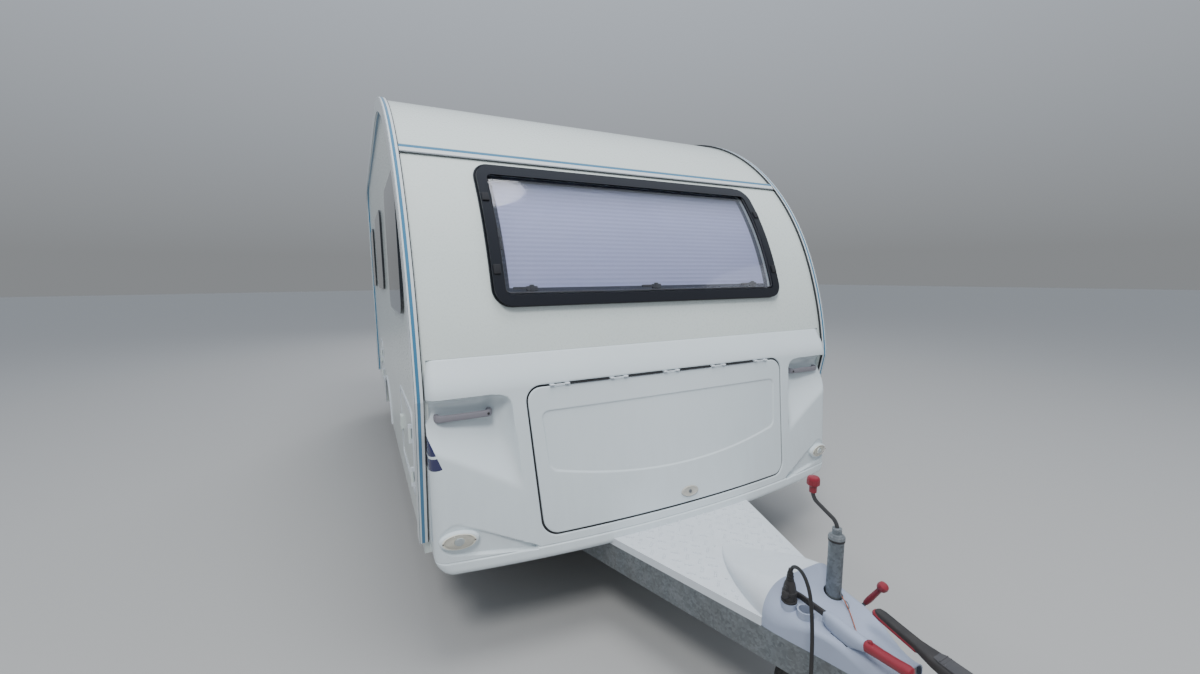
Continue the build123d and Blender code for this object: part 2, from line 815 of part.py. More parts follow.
# Axle: a tube across, trailing arms, stub axles and brake back plates
tube_y = axle_y - arm_reach
arm_inner = drum_inner - arm_thick - 40
axle = rod_x(axle_tube_radius, -arm_inner, arm_inner, tube_y, axle_tube_height)
for side in (-1, 1):
    arm_face = make_hull((Pos(tube_y, axle_tube_height) * Circle(58) + Pos(axle_y, tyre_radius) * Circle(38)).edges())
    axle += side_panel(arm_face, side, arm_inner, arm_inner + arm_thick)
    axle += side_panel(Pos(axle_y, tyre_radius) * Circle(drum_radius), side, arm_inner + arm_thick, drum_inner - 5)
    axle += side_panel(Pos(axle_y, tyre_radius) * Circle(stub_radius), side, arm_inner + arm_thick,
                       drum_inner + drum_thick + 40)
    hanger = block(rail_x, rail_x + rail_flange, tube_y - 60, tube_y + 60, axle_tube_height, rail_bottom)
    axle += hanger if side > 0 else mirror(hanger, Plane.YZ)
rod_end = tube_y - axle_tube_radius - 30
axle += block(-rod_lug_half, rod_lug_half, rod_end, tube_y, axle_tube_height, brake_rod_z + 20)
keep("axle", axle)


# Road wheels
def wheel_parts(side):
    drum = Circle(drum_radius) - Circle(stub_radius + pin_clear)
    drum = Pos(axle_y, tyre_radius) * drum
    drum_piece = side_panel(drum, side, drum_inner, drum_inner + drum_thick)
    hub = Pos(axle_y, tyre_radius) * (Circle(hub_radius) - Circle(stub_radius + pin_clear))
    drum_piece += side_panel(hub, side, drum_inner + drum_thick, wheel_track_half - disc_set)
    tyre_half = tyre_width / 2
    tread = make_face(Polyline((rim_radius, -tyre_half + 18), (rim_radius + 40, -tyre_half),
                               (tyre_radius - 45, -tyre_half), (tyre_radius - 12, -tyre_half + 12),
                               (tyre_radius, -tyre_half + 34), (tyre_radius, tyre_half - 34),
                               (tyre_radius - 12, tyre_half - 12), (tyre_radius - 45, tyre_half),
                               (rim_radius + 40, tyre_half), (rim_radius, tyre_half - 18), close=True))
    tyre = revolve(Plane.XZ * tread, Axis.Z)
    rim_face = make_face(Polyline((rim_radius - 8, -rim_half + 4), (rim_radius, -rim_half), (rim_radius, rim_half),
                                  (rim_radius - 8, rim_half - 4), (rim_radius - 10, -8), (120, 7 - disc_set),
                                  (20, 7 - disc_set), (20, -disc_set), (122, -disc_set), (rim_radius - 14, -16),
                                  close=True))
    rim = revolve(Plane.XZ * rim_face, Axis.Z)
    for number in range(rim_holes):
        turn = Rot(0, 0, 360 / rim_holes * number)
        rim -= turn * Pos(rim_hole_circle, 0, 0) * Cylinder(rim_hole_radius, 2 * rim_half)
    place = Pos(wheel_track_half, axle_y, tyre_radius) * Rot(0, 90, 0)
    tyre = place * tyre
    rim = place * rim
    if side < 0:
        tyre = mirror(tyre, Plane.YZ)
        rim = mirror(rim, Plane.YZ)
    return tyre, rim + drum_piece


for side, word in ((1, "left"), (-1, "right")):
    tyre, rim = wheel_parts(side)
    keep(f"tyre_{word}", tyre)
    keep(f"rim_{word}", rim)

# Coupling head on the overrun tube
head = rod_z(head_radius, ball_height - 22, ball_height + 40, 0, ball_y)
neck = loft([Pos(0, ball_y, 0) * (Plane.XZ * (Pos(0, ball_height + 8) * RectangleRounded(72, 60, 14))),
             Pos(0, ball_y + neck_long, 0) * (Plane.XZ * (Pos(0, tube_height) * RectangleRounded(66, 66, 20)))],
            ruled=True)
head += neck
head -= rod_z(ball_radius + ball_clear, 0, ball_height, 0, ball_y)
head -= Pos(0, ball_y, ball_height) * Sphere(ball_radius + ball_clear)
keep("coupling_head", head)
tube = rod_y(tube_radius, ball_y + neck_long, ball_y + neck_long + tube_long, 0, tube_height)
saddle = block(-saddle_half, saddle_half, ball_y + saddle_front, ball_y + saddle_rear, drawbar_top, tube_height + 24)
rod_start = ball_y + saddle_rear + 2 * rod_lug_half
saddle += block(-rod_lug_half, rod_lug_half, ball_y + saddle_rear, rod_start, brake_rod_z - 20, tube_height)
keep("overrun_gear", tube + saddle)

# Stabiliser handle: a broad grip that rises backwards from the head
grip_back = (nose + grip_back_set, grip_back_z)
grip_low = (ball_y + 70, ball_height + 56)
grip_side = make_hull((Pos(*grip_low) * Circle(22) + Pos(grip_low[0] + 130, grip_low[1] + 34) * Circle(20)).edges())
grip_arm = make_hull((Pos(grip_low[0] + 130, grip_low[1] + 34) * Circle(20) + Pos(*grip_back) * Circle(13)).edges())
stabiliser = across(grip_side, -16, 16) + across(grip_arm, -grip_half, grip_half) - head
keep("stabiliser_handle", stabiliser)

# Handbrake lever: a flat bar, a thick sleeve and a grip
lever_x = -lever_side
lever_pivot = (ball_y + 500, drawbar_top + 52)
lever_knee = (nose + lever_knee_set, lever_knee_z)
lever_tip = (nose + lever_tip_set, lever_tip_z)
bar_face = make_hull((Pos(*lever_pivot) * Circle(16) + Pos(*lever_knee) * Circle(14)).edges())
grip_face = make_hull((Pos(*lever_knee) * Circle(17) + Pos(*lever_tip) * Circle(13)).edges())
handbrake = across(bar_face, lever_x - 8, lever_x + 8) + across(grip_face, lever_x - 17, lever_x + 17)
handbrake += rod_x(9, lever_x, -saddle_half, *lever_pivot)
keep("handbrake_lever", handbrake)

# Drawbar cover: a deck with turned-down edges and a drop-shaped bulge that grows into the hood
cover_rear = body_front - cover_lap
cover_front = nose + hood_set
plug_places = [(x, cover_front - ahead) for x, ahead in plug_rows]
deck_top = drawbar_top + deck_rise
deck = make_face(Polyline((-edge_x(cover_rear), cover_rear), (-edge_x(cover_front), cover_front),
                          (edge_x(cover_front), cover_front), (edge_x(cover_rear), cover_rear), close=True))
cover = upward(deck, drawbar_top, deck_top) - upward(offset(deck, amount=-4), drawbar_top - 1, deck_top - 4)
cover += upward(offset(deck, amount=-1), deck_top - 4, deck_top)


def hood_section(y, wide, top, corner, inset=0):
    """An upright section across the drawbar, rounded above and open-ended below."""
    face = rounded(-wide / 2 + inset, wide / 2 - inset, drawbar_top - hood_low - 2 * inset, top - inset,
                   corner - inset)
    return Pos(0, y, 0) * (Plane.XZ * face)


# Each row: y, width, top, corner
bulge_rows = (
    (cover_front + 375, 24, deck_top + 3, 10),
    (cover_front + 240, 200, deck_top + 32, 24),
    (cover_front + 120, 290, deck_top + 70, 50),
    (cover_front, hood_wide - 4, hood_top, 95),
)
bulge = loft([hood_section(*row) for row in bulge_rows])
bulge &= block(-run, run, nose, tail, deck_top - 3, roof_top)
cover += bulge
cover -= panel_outer
keep("drawbar_cover", cover)

# Fairing over the overrun gear, open below: the hood, a flat top and a narrowing nose
fairing_rows = [(cover_front, hood_wide, hood_top + 4, 97)]
for ahead, top, corner in ((50, hood_top - 44, 68), (110, flat_top + 6, 32), (fairing_long * 0.65, flat_top, 24),
                           (fairing_long, flat_top - 4, 24)):
    fairing_rows.append((cover_front - ahead, 2 * edge_x(cover_front - ahead), top, corner))


def fairing_volume(inset):
    return loft([hood_section(*row, inset) for row in fairing_rows])


fairing_outside = fairing_volume(0)
fairing = fairing_outside - fairing_volume(4)
for x, y in plug_places:
    fairing += rod_z(ring_radius + ring_wall, ring_top - 40, roof_top, x, y) & fairing_outside
    fairing += rod_z(ring_radius, ring_top - 40, ring_top, x, y)
for x, y in plug_places:
    fairing -= rod_z(ring_radius + ring_play, ring_top, roof_top, x, y)
    fairing -= rod_z(plug_radius + ring_play, ring_top - 50, roof_top, x, y)
fairing &= block(-run, run, nose, tail, drawbar_top, roof_top)
fairing -= rod_z(mast_radius + 6, 0, roof_top, mast_x, mast_y)
fairing -= across(offset(bar_face, amount=6), lever_x - 16, lever_x + 16)
fairing -= across(offset(grip_face, amount=6), lever_x - 24, lever_x + 24)
keep("coupling_fairing", fairing)

# Plug of the electric lead, parked upright in its ring holder, with a clip at its side
plug_x, plug_y = plug_places[0]
plug = rod_z(plug_radius, ring_top - plug_sunk, ring_top + 26, plug_x, plug_y)
plug += rod_z(plug_radius + 4.5, ring_top + 0.3, ring_top + 8, plug_x, plug_y)
plug += Pos(plug_x, plug_y, ring_top + 26 + 20) * Cone(plug_radius, 11, 40)
plug += rod_z(11, ring_top + 66, lead_top, plug_x, plug_y)
plug += rod_x(12, plug_x - plug_radius - 16, plug_x, plug_y - 6, ring_top + 34)
keep("lead_plug", plug)


# Cords: straight runs joined by tangent arcs, as large as the runs allow
def cord_tube(points, radius):
    points = [Vector(*p) for p in points]
    bends = []
    for before, at, after in zip(points, points[1:], points[2:]):
        run_in, run_out = at - before, after - at
        turn = radians(run_in.get_angle(run_out))
        bends.append(0.45 * min(run_in.length, run_out.length) / tan(turn / 2))
    path = FilletPolyline(*points, radius=bends)
    solid = sweep(Plane(origin=path @ 0, z_dir=path % 0) * Circle(radius), path)
    print("cord", round(path.length), "mm, tightest", round(min(bends)), "mm, volume is",
          round(solid.volume / (path.length * pi * radius ** 2), 4), "of section times length")
    return solid


keep("lead_cable", cord_tube(lead_route, lead_radius))
keep("breakaway_cable", cord_tube(breakaway_route, breakaway_radius))

# Brake rod from the overrun gear back to the axle
keep("brake_rod", rod_y(brake_rod_radius, rod_start, rod_end, 0, brake_rod_z))

# Jockey wheel, trailing to one side as it was left
mast_place = Pos(mast_x, mast_y, 0)
outer_tube = rod_z(mast_radius, mast_low, mast_high, mast_x, mast_y)
outer_tube -= rod_z(mast_radius - mast_wall, mast_low - 1, mast_high - 4, mast_x, mast_y)
outer_tube += rod_z(mast_radius * 0.62, mast_high, mast_high + 26, mast_x, mast_y)
keep("jockey_tube", outer_tube)
knob_low = mast_high + 140
crank = mast_place * Rot(0, 0, crank_turn) * bent_bar(
    [(0, 0, mast_high + 26), (0, 0, mast_high + 48), (crank_reach, 0, mast_high + 118), (crank_reach, 0, knob_low + 8)],
    crank_radius, 18)
crank += mast_place * Rot(0, 0, crank_turn) * (
    rod_z(13, knob_low, knob_low + 22, crank_reach, 0) + rod_z(20, knob_low + 22, knob_low + 52, crank_reach, 0))
keep("jockey_crank", crank)
keep("jockey_mast", rod_z(inner_radius, fork_top, mast_high - 120, mast_x, mast_y))

# The fork and wheel are drawn trailing straight back from the mast's axis, then turned
trail_place = mast_place * Rot(0, 0, jockey_turn)
fork_half = jockey_width / 2 + 8
fork = block(-fork_half - 6, fork_half + 6, -28, jockey_trail + 20, fork_top - 9, fork_top - swivel_play)
fork_face = make_hull((Pos(0, fork_top - 10) * Circle(26) + Pos(jockey_trail, jockey_radius) * Circle(16)).edges())
for x in (-fork_half - 6, fork_half):
    fork += across(fork_face, x, x + 6) & block(-run, run, -run, run, 0, fork_top - swivel_play)
fork += rod_x(8, -fork_half - 12, fork_half + 12, jockey_trail, jockey_radius)
keep("jockey_fork", trail_place * fork)
wheel_half = jockey_width / 2
jockey_face = make_face(Polyline(
    (8.05, -wheel_half), (60, -14), (78, -14), (88, -wheel_half), (jockey_radius - 8, -wheel_half),
    (jockey_radius, 9 - wheel_half), (jockey_radius, wheel_half - 9), (jockey_radius - 8, wheel_half),
    (88, wheel_half), (78, 14), (60, 14), (8.05, wheel_half), close=True))
jockey = Pos(0, jockey_trail, jockey_radius) * Rot(0, 90, 0) * revolve(Plane.XZ * jockey_face, Axis.Z)
keep("jockey_wheel", trail_place * jockey)

# Clamp on the leg's inside, with its screw through the leg and a handle with a ball
clamp = block(mast_x - 32, edge_x(mast_y), mast_y - 30, mast_y + 30, clamp_z - 25, clamp_z + 15)
clamp -= rod_z(mast_radius, 0, roof_top, mast_x, mast_y)
clamp -= drawbar_leg(1)
clamp = clamp.solids().sort_by(Axis.X)[0]
screw_end = edge_x(mast_y) + clamp_reach
clamp += rod_x(clamp_screw, mast_x + mast_radius, screw_end, mast_y, clamp_z)
ball_at = (mast_y - clamp_handle_y, clamp_z + clamp_handle_z)
clamp += bent_bar([(screw_end - 9, mast_y, clamp_z), (screw_end - 9, *ball_at)], clamp_screw, 0)
clamp += Pos(screw_end - 9, *ball_at) * Sphere(15)
keep("jockey_clamp", clamp)


# Corner steadies, folded up under the floor, each with its screw above it
def steady(side, pivot_y, way):
    x = side * steady_x
    tip = pivot_y + way * steady_length
    y0, y1 = min(pivot_y - way * 40, tip), max(pivot_y - way * 40, tip)
    carrier = block(x - 36, x + 36, y0, y1, floor_height - 6, floor_height)
    for x0 in (x - 36, x + 31):
        carrier += block(x0, x0 + 5, pivot_y - 28, pivot_y + 28, steady_pivot_height - 20, floor_height - 6)
    carrier += rod_x(8, x - 36, x + 36, pivot_y, steady_pivot_height)
    screw_z = floor_height - 20
    for y in (pivot_y + way * 60, tip - way * 12):
        carrier += block(x - 12, x + 12, y - 6, y + 6, screw_z - 10, floor_height - 6)
    carrier += rod_y(6, min(pivot_y + way * 50, tip), max(pivot_y + way * 50, tip), x, screw_z)
    l0, l1 = min(pivot_y, tip), max(pivot_y, tip)
    leg = block(x - 25, x + 25, l0, l1, steady_pivot_height - 18, steady_pivot_height + 18)
    leg -= block(x - 21, x + 21, l0 + 4, l1 - 4, steady_pivot_height - 14, steady_pivot_height + 19)
    leg += rod_x(18, x - 25, x + 25, pivot_y, steady_pivot_height)
    leg -= rod_x(8 + pin_clear, x - 26, x + 26, pivot_y, steady_pivot_height)
    foot_y = tip - way * 40
    leg += block(x - 45, x + 45, foot_y - 38, foot_y + 38, steady_pivot_height - 22, steady_pivot_height - 18)
    return carrier, leg


# Each row: name, side, pivot y, way the leg points
steady_rows = (
    ("front_left", 1, body_front + steady_front, -1), ("front_right", -1, body_front + steady_front, -1),
    ("rear_left", 1, body_rear - steady_rear, 1), ("rear_right", -1, body_rear - steady_rear, 1),
)
carriers = []
for name, side, pivot_y, way in steady_rows:
    carrier, leg = steady(side, pivot_y, way)
    carriers.append(carrier)
    keep(f"steady_leg_{name}", leg)
keep("cross_members", Compound(children=members + carriers))
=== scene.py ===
import bmesh
import bpy
import json
from math import atan2, cos, exp, hypot, pi, radians, sin, sqrt
from mathutils import Matrix, Vector


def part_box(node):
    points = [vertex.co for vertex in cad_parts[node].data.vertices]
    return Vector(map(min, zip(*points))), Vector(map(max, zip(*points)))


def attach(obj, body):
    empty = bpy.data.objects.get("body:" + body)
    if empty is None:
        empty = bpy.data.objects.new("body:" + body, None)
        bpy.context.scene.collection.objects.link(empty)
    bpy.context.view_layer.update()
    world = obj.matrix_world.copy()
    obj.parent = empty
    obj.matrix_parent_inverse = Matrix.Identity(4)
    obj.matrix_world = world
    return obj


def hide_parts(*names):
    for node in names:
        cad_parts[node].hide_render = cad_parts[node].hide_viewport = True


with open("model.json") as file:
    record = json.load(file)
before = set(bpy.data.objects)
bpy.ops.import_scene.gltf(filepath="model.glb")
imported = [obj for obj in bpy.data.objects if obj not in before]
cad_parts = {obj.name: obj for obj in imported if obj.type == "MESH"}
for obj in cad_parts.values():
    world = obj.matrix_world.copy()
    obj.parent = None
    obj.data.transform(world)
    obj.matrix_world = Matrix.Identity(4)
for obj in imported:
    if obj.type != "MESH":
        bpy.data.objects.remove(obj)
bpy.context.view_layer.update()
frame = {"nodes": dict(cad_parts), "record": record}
nodes = frame["nodes"]
bodyFront = -1.396          # knee of the front wall
panelHalf = 1.083           # half the front moulding's width


# Camera, where the photograph was taken from

cameraPlace = {
    "spot": (-1.278, -3.224, 1.540), "yaw": -26.99, "pitch": -7.38, "roll": 0.44,
    "focalPixels": 473.0, "imageWide": 1200, "sensor": 36.0, "near": 0.02, "far": 200,
}


def addCamera(s):
    data = bpy.data.cameras.new("viewCamera")
    data.sensor_width = s["sensor"]
    data.lens = s["sensor"] * s["focalPixels"] / s["imageWide"]
    data.clip_start = s["near"]
    data.clip_end = s["far"]
    camera = bpy.data.objects.new("viewCamera", data)
    bpy.context.scene.collection.objects.link(camera)
    turn = Matrix.Identity(3)
    for angle, axis in ((s["yaw"], "Z"), (s["pitch"], "X"), (s["roll"], "Y"), (90, "X")):
        turn = turn @ Matrix.Rotation(radians(angle), 3, axis)
    camera.matrix_world = Matrix.Translation(s["spot"]) @ turn.to_4x4()
    bpy.context.scene.camera = camera


addCamera(cameraPlace)
print("camera placed")


# Short ways to add shader nodes: a value is a number or another node's socket

def feed(tree, socket, value):
    if isinstance(value, bpy.types.NodeSocket):
        tree.links.new(value, socket)
    else:
        socket.default_value = value


def addNode(tree, kind, inputs=None, **settings):
    node = tree.nodes.new("ShaderNode" + kind)
    for key, value in settings.items():
        setattr(node, key, value)
    for key, value in (inputs or {}).items():
        feed(tree, node.inputs[key], value)
    return node


def mixColour(tree, factor, first, second):
    return addNode(tree, "Mix", {0: factor, 6: first, 7: second}, data_type="RGBA").outputs[2]


def maths(tree, operation, *values, clamp=False):
    return addNode(tree, "Math", dict(enumerate(values)), operation=operation, use_clamp=clamp).outputs[0]


def ramp(tree, value, low, high):
    return addNode(tree, "MapRange", {"Value": value, "From Min": low, "From Max": high}, clamp=True).outputs[0]


def spreadTo(tree, value, low, high):
    return addNode(tree, "MapRange", {"Value": value, "To Min": low, "To Max": high}).outputs[0]


def noise(tree, place, scale, detail, **more):
    return addNode(tree, "TexNoise", {"Vector": place, "Scale": scale, "Detail": detail, **more}).outputs["Fac"]


def axes(tree, place):
    return addNode(tree, "SeparateXYZ", {"Vector": place}).outputs


# Studio: floor, sky and lamps

studio = {
    "floorHalf": 60.0, "floorColour": (0.40, 0.40, 0.395), "floorRough": 0.75,
    "skyLow": (0.25, 0.26, 0.27), "skyHigh": (0.80, 0.88, 1.0), "skyStart": 0.52, "skyPower": 1.0,
    "lamps": (  # place, aimed at, size, watts, colour
        ((-3.5, -5.5, 7.5), (0.0, -1.5, 1.0), 2.4, 430, (1.0, 0.985, 0.965)),
        ((6.5, -6.0, 4.0), (0.0, -1.0, 1.0), 3.0, 50, (0.93, 0.96, 1.0)),
        ((2.0, 8.5, 6.0), (0.0, 1.0, 1.2), 4.0, 260, (0.98, 0.98, 1.0)),
        ((0.0, -2.5, 9.0), (0.0, -1.5, 0.0), 3.5, 330, (1.0, 1.0, 1.0)),
    ),
}


def addStudio(s):
    bpy.ops.mesh.primitive_plane_add(size=2 * s["floorHalf"], location=(0, 0, 0))
    floor = bpy.context.object
    floor.name = "floor"
    paint = bpy.data.materials.new("floorPaint")
    paint.use_nodes = True
    shader = paint.node_tree.nodes["Principled BSDF"]
    shader.inputs["Base Color"].default_value = (*s["floorColour"], 1)
    shader.inputs["Roughness"].default_value = s["floorRough"]
    floor.data.materials.append(paint)
    world = bpy.data.worlds.new("studioSky")
    bpy.context.scene.world = world
    world.use_nodes = True
    tree = world.node_tree
    high = axes(tree, addNode(tree, "TexCoord").outputs["Generated"])["Z"]
    blend = addNode(tree, "ValToRGB", {"Fac": maths(tree, "MULTIPLY_ADD", high, 0.5, 0.5)})
    low, top = blend.color_ramp.elements
    low.position, low.color = s["skyStart"], (*s["skyLow"], 1)
    top.position, top.color = 1.0, (*s["skyHigh"], 1)
    backdrop = tree.nodes["Background"].inputs
    tree.links.new(blend.outputs["Color"], backdrop["Color"])
    backdrop["Strength"].default_value = s["skyPower"]
    for number, (place, aim, size, watts, colour) in enumerate(s["lamps"]):
        light = bpy.data.lights.new(f"softLamp{number}", "AREA")
        light.shape = "DISK"
        light.size = size
        light.energy = watts
        light.color = colour
        lamp = bpy.data.objects.new(light.name, light)
        lamp.visible_glossy = False
        lamp.location = place
        lamp.rotation_euler = (Vector(aim) - Vector(place)).to_track_quat("-Z", "Y").to_euler()
        bpy.context.scene.collection.objects.link(lamp)


addStudio(studio)
print("studio ready")


# Shared shader groups

def newGroup(name, inputs, outputs):
    tree = bpy.data.node_groups.new(name, "ShaderNodeTree")
    for direction, sockets in (("INPUT", inputs), ("OUTPUT", outputs)):
        for label, kind in sockets.items():
            tree.interface.new_socket(name=label, in_out=direction, socket_type="NodeSocket" + kind)
    return tree, tree.nodes.new("NodeGroupInput").outputs, tree.nodes.new("NodeGroupOutput").inputs


surface = {"Colour": "Color", "Roughness": "Float", "Height": "Float"}


# Colour drift, fine grain and road film: every finish is one of these with its own values
filmLook = {"cloud": 2.3, "stretch": (9.0, 9.0, 1.2), "streak": 3.0, "dirtRough": 0.3}


def buildFilmGroup(s):
    tree, given, out = newGroup("weatherFilm", {
        "Vector": "Vector", "Colour": "Color", "Film": "Color", "Drift": "Float", "Grain Scale": "Float",
        "Film Top": "Float", "Film Amount": "Float", "Rough Low": "Float", "Rough High": "Float"}, surface)
    place = given["Vector"]
    slow = noise(tree, place, s["cloud"], 3.0)
    fine = noise(tree, place, given["Grain Scale"], 4.0)
    shade = maths(tree, "MULTIPLY_ADD", maths(tree, "SUBTRACT", slow, 0.5), given["Drift"], 1.0)
    tinted = addNode(tree, "VectorMath", {0: given["Colour"], "Scale": shade}, operation="SCALE").outputs[0]
    low = maths(tree, "SUBTRACT", 1.0, maths(tree, "DIVIDE", axes(tree, place)["Z"], given["Film Top"]), clamp=True)
    long = addNode(tree, "Mapping", {"Vector": place, "Scale": s["stretch"]}).outputs[0]
    streak = noise(tree, long, s["streak"], 5.0)
    amount = maths(tree, "MULTIPLY", maths(tree, "MULTIPLY", low, streak), given["Film Amount"], clamp=True)
    feed(tree, out["Colour"], mixColour(tree, amount, tinted, given["Film"]))
    rough = spreadTo(tree, fine, given["Rough Low"], given["Rough High"])
    dirty = maths(tree, "MULTIPLY", amount, s["dirtRough"])
    feed(tree, out["Roughness"], maths(tree, "ADD", rough, dirty, clamp=True))
    feed(tree, out["Height"], fine)
    return tree


# Zinc spangle: flat crystals a few millimetres to centimetres wide
zincLook = {"bend": 30.0, "shift": 0.02, "cloud": 11.0, "cloudShare": 0.75, "cellShare": 0.45, "rough": (0.62, 0.36)}


def buildZincGroup(s):
    tree, given, out = newGroup("zincSpangle", {"Vector": "Vector", "Scale": "Float", "Light": "Color",
                                                "Dark": "Color"}, surface)
    place = given["Vector"]
    bent = addNode(tree, "TexNoise", {"Vector": place, "Scale": s["bend"], "Detail": 2.0}).outputs["Color"]
    moved = addNode(tree, "VectorMath", {0: bent, 1: (s["shift"],) * 3, 2: place}, operation="MULTIPLY_ADD")
    cells = addNode(tree, "TexVoronoi", {"Vector": moved.outputs[0], "Scale": given["Scale"]}).outputs
    grey = addNode(tree, "SeparateColor", {"Color": cells["Color"]}).outputs[0]
    clouds = maths(tree, "MULTIPLY", noise(tree, place, s["cloud"], 5.0), s["cloudShare"])
    mixed = maths(tree, "MULTIPLY_ADD", grey, s["cellShare"], clouds, clamp=True)
    feed(tree, out["Colour"], mixColour(tree, mixed, given["Dark"], given["Light"]))
    feed(tree, out["Roughness"], spreadTo(tree, mixed, *s["rough"]))
    feed(tree, out["Height"], cells["Distance"])
    return tree


# Moulded texture: a leathery grain for unpainted plastics and rubber
grainLook = {"dotShare": 0.5}


def buildGrainGroup(s):
    tree, given, out = newGroup("mouldedGrain", {"Vector": "Vector", "Scale": "Float"}, {"Height": "Float"})
    cells = addNode(tree, "TexVoronoi", {"Vector": given["Vector"], "Scale": given["Scale"]}, feature="SMOOTH_F1")
    dots = maths(tree, "MULTIPLY", noise(tree, given["Vector"], given["Scale"], 2.0), s["dotShare"])
    feed(tree, out["Height"], maths(tree, "ADD", cells.outputs["Distance"], dots))
    return tree


filmGroup = buildFilmGroup(filmLook)
zincGroup = buildZincGroup(zincLook)
grainGroup = buildGrainGroup(grainLook)
roadFilm = (0.23, 0.20, 0.165, 1.0)
filmTop = 1.1               # the film of road dirt fades out at this height


def startMaterial(name):
    paint = bpy.data.materials.new(name)
    paint.use_nodes = True
    tree = paint.node_tree
    return paint, tree, tree.nodes["Principled BSDF"].inputs, addNode(tree, "TexCoord").outputs["Object"]


def addFilm(tree, place, colour, drift, grain, amount, rough):
    return addNode(tree, "Group", {
        "Vector": place, "Colour": colour, "Film": roadFilm, "Drift": drift, "Grain Scale": grain,
        "Film Top": filmTop, "Film Amount": amount, "Rough Low": rough[0], "Rough High": rough[1]},
        node_tree=filmGroup).outputs


def addBump(tree, sockets, height, distance):
    bump = addNode(tree, "Bump", {"Height": height, "Distance": distance, "Strength": 1.0})
    feed(tree, sockets["Normal"], bump.outputs[0])


# Plain finishes. The texture is fine grain or moulded, with its scale and its depth in millimetres
finishColumns = ("colour", "texture", "scale", "depth", "rough", "coat", "film", "metal")
plainFinishes = {
    "panel_white": ((0.665, 0.735, 0.715), "grain", 90, 0.06, (0.24, 0.32), 0.5, 0.35, 0.0),
    "moulding_white": ((0.675, 0.750, 0.785), "grain", 60, 0.05, (0.20, 0.27), 0.6, 0.22, 0.0),
    "window_black": ((0.0045, 0.0055, 0.010), "grain", 320, 0.08, (0.24, 0.36), 0.1, 0.08, 0.0),
    "lock_cream": ((0.50, 0.49, 0.44), "grain", 200, 0.05, (0.30, 0.42), 0.2, 0.35, 0.0),
    "window_tinted": ((0.010, 0.012, 0.018), "grain", 40, 0.04, (0.06, 0.10), 0.6, 0.10, 0.0),
    "black_plastic": ((0.020, 0.020, 0.023), "moulded", 900, 0.12, (0.42, 0.58), 0.0, 0.30, 0.0),
    "grey_plastic": ((0.235, 0.225, 0.255), "moulded", 1100, 0.10, (0.40, 0.52), 0.0, 0.18, 0.0),
    "pale_plastic": ((0.66, 0.71, 0.76), "moulded", 800, 0.06, (0.38, 0.48), 0.0, 0.25, 0.0),
    "blue_grey_plastic": ((0.36, 0.415, 0.54), "moulded", 850, 0.10, (0.40, 0.54), 0.0, 0.22, 0.0),
    "dark_plastic": ((0.050, 0.052, 0.060), "moulded", 900, 0.12, (0.45, 0.60), 0.0, 0.30, 0.0),
    "red_plastic": ((0.235, 0.010, 0.026), "moulded", 700, 0.06, (0.30, 0.42), 0.2, 0.20, 0.0),
    "tail_lens": ((0.36, 0.010, 0.012), "grain", 50, 0.05, (0.10, 0.16), 0.7, 0.10, 0.0),
    "lamp_lens": ((0.78, 0.76, 0.66), "grain", 120, 0.05, (0.16, 0.24), 0.6, 0.10, 0.0),
    "wheel_silver": ((0.44, 0.45, 0.46), "grain", 700, 0.05, (0.30, 0.42), 0.3, 0.45, 0.7),
    "cast_grey": ((0.065, 0.066, 0.070), "moulded", 420, 0.30, (0.45, 0.62), 0.0, 0.35, 0.4),
    "tyre_rubber": ((0.020, 0.020, 0.021), "moulded", 300, 0.25, (0.66, 0.85), 0.0, 0.50, 0.0),
    "cable_black": ((0.012, 0.012, 0.013), "moulded", 1500, 0.06, (0.38, 0.50), 0.0, 0.12, 0.0),
    "cable_orange": ((0.42, 0.115, 0.030), "grain", 900, 0.04, (0.30, 0.42), 0.0, 0.10, 0.0),
    "rail_blue": ((0.60, 0.68, 0.72), "grain", 200, 0.04, (0.28, 0.36), 0.4, 0.20, 0.0),
}
plainDrift, plainGrain, coatRough = 0.10, 300, 0.08


def plainMaterial(name, s):
    paint, tree, sockets, place = startMaterial(name)
    moulded = s["texture"] == "moulded"
    film = addFilm(tree, place, (*s["colour"], 1), plainDrift, float(plainGrain if moulded else s["scale"]),
                   s["film"], s["rough"])
    feed(tree, sockets["Base Color"], film["Colour"])
    feed(tree, sockets["Roughness"], film["Roughness"])
    height = film["Height"]
    if moulded:
        height = addNode(tree, "Group", {"Vector": place, "Scale": float(s["scale"])},
                         node_tree=grainGroup).outputs["Height"]
    addBump(tree, sockets, height, s["depth"] / 1000)
    sockets["Metallic"].default_value = s["metal"]
    sockets["Coat Weight"].default_value = s["coat"]
    sockets["Coat Roughness"].default_value = coatRough
    return paint


finishes = {name: plainMaterial(name, dict(zip(finishColumns, row))) for name, row in plainFinishes.items()}


# The front moulding also wears a small navy fan at its left edge, split by a white arc
fanSizes = {"x": 1.086, "z": 0.953, "lean": 0.37, "radius": 0.134, "gapIn": 0.078, "gapOut": 0.088,
            "navy": (0.016, 0.018, 0.085, 1.0)}


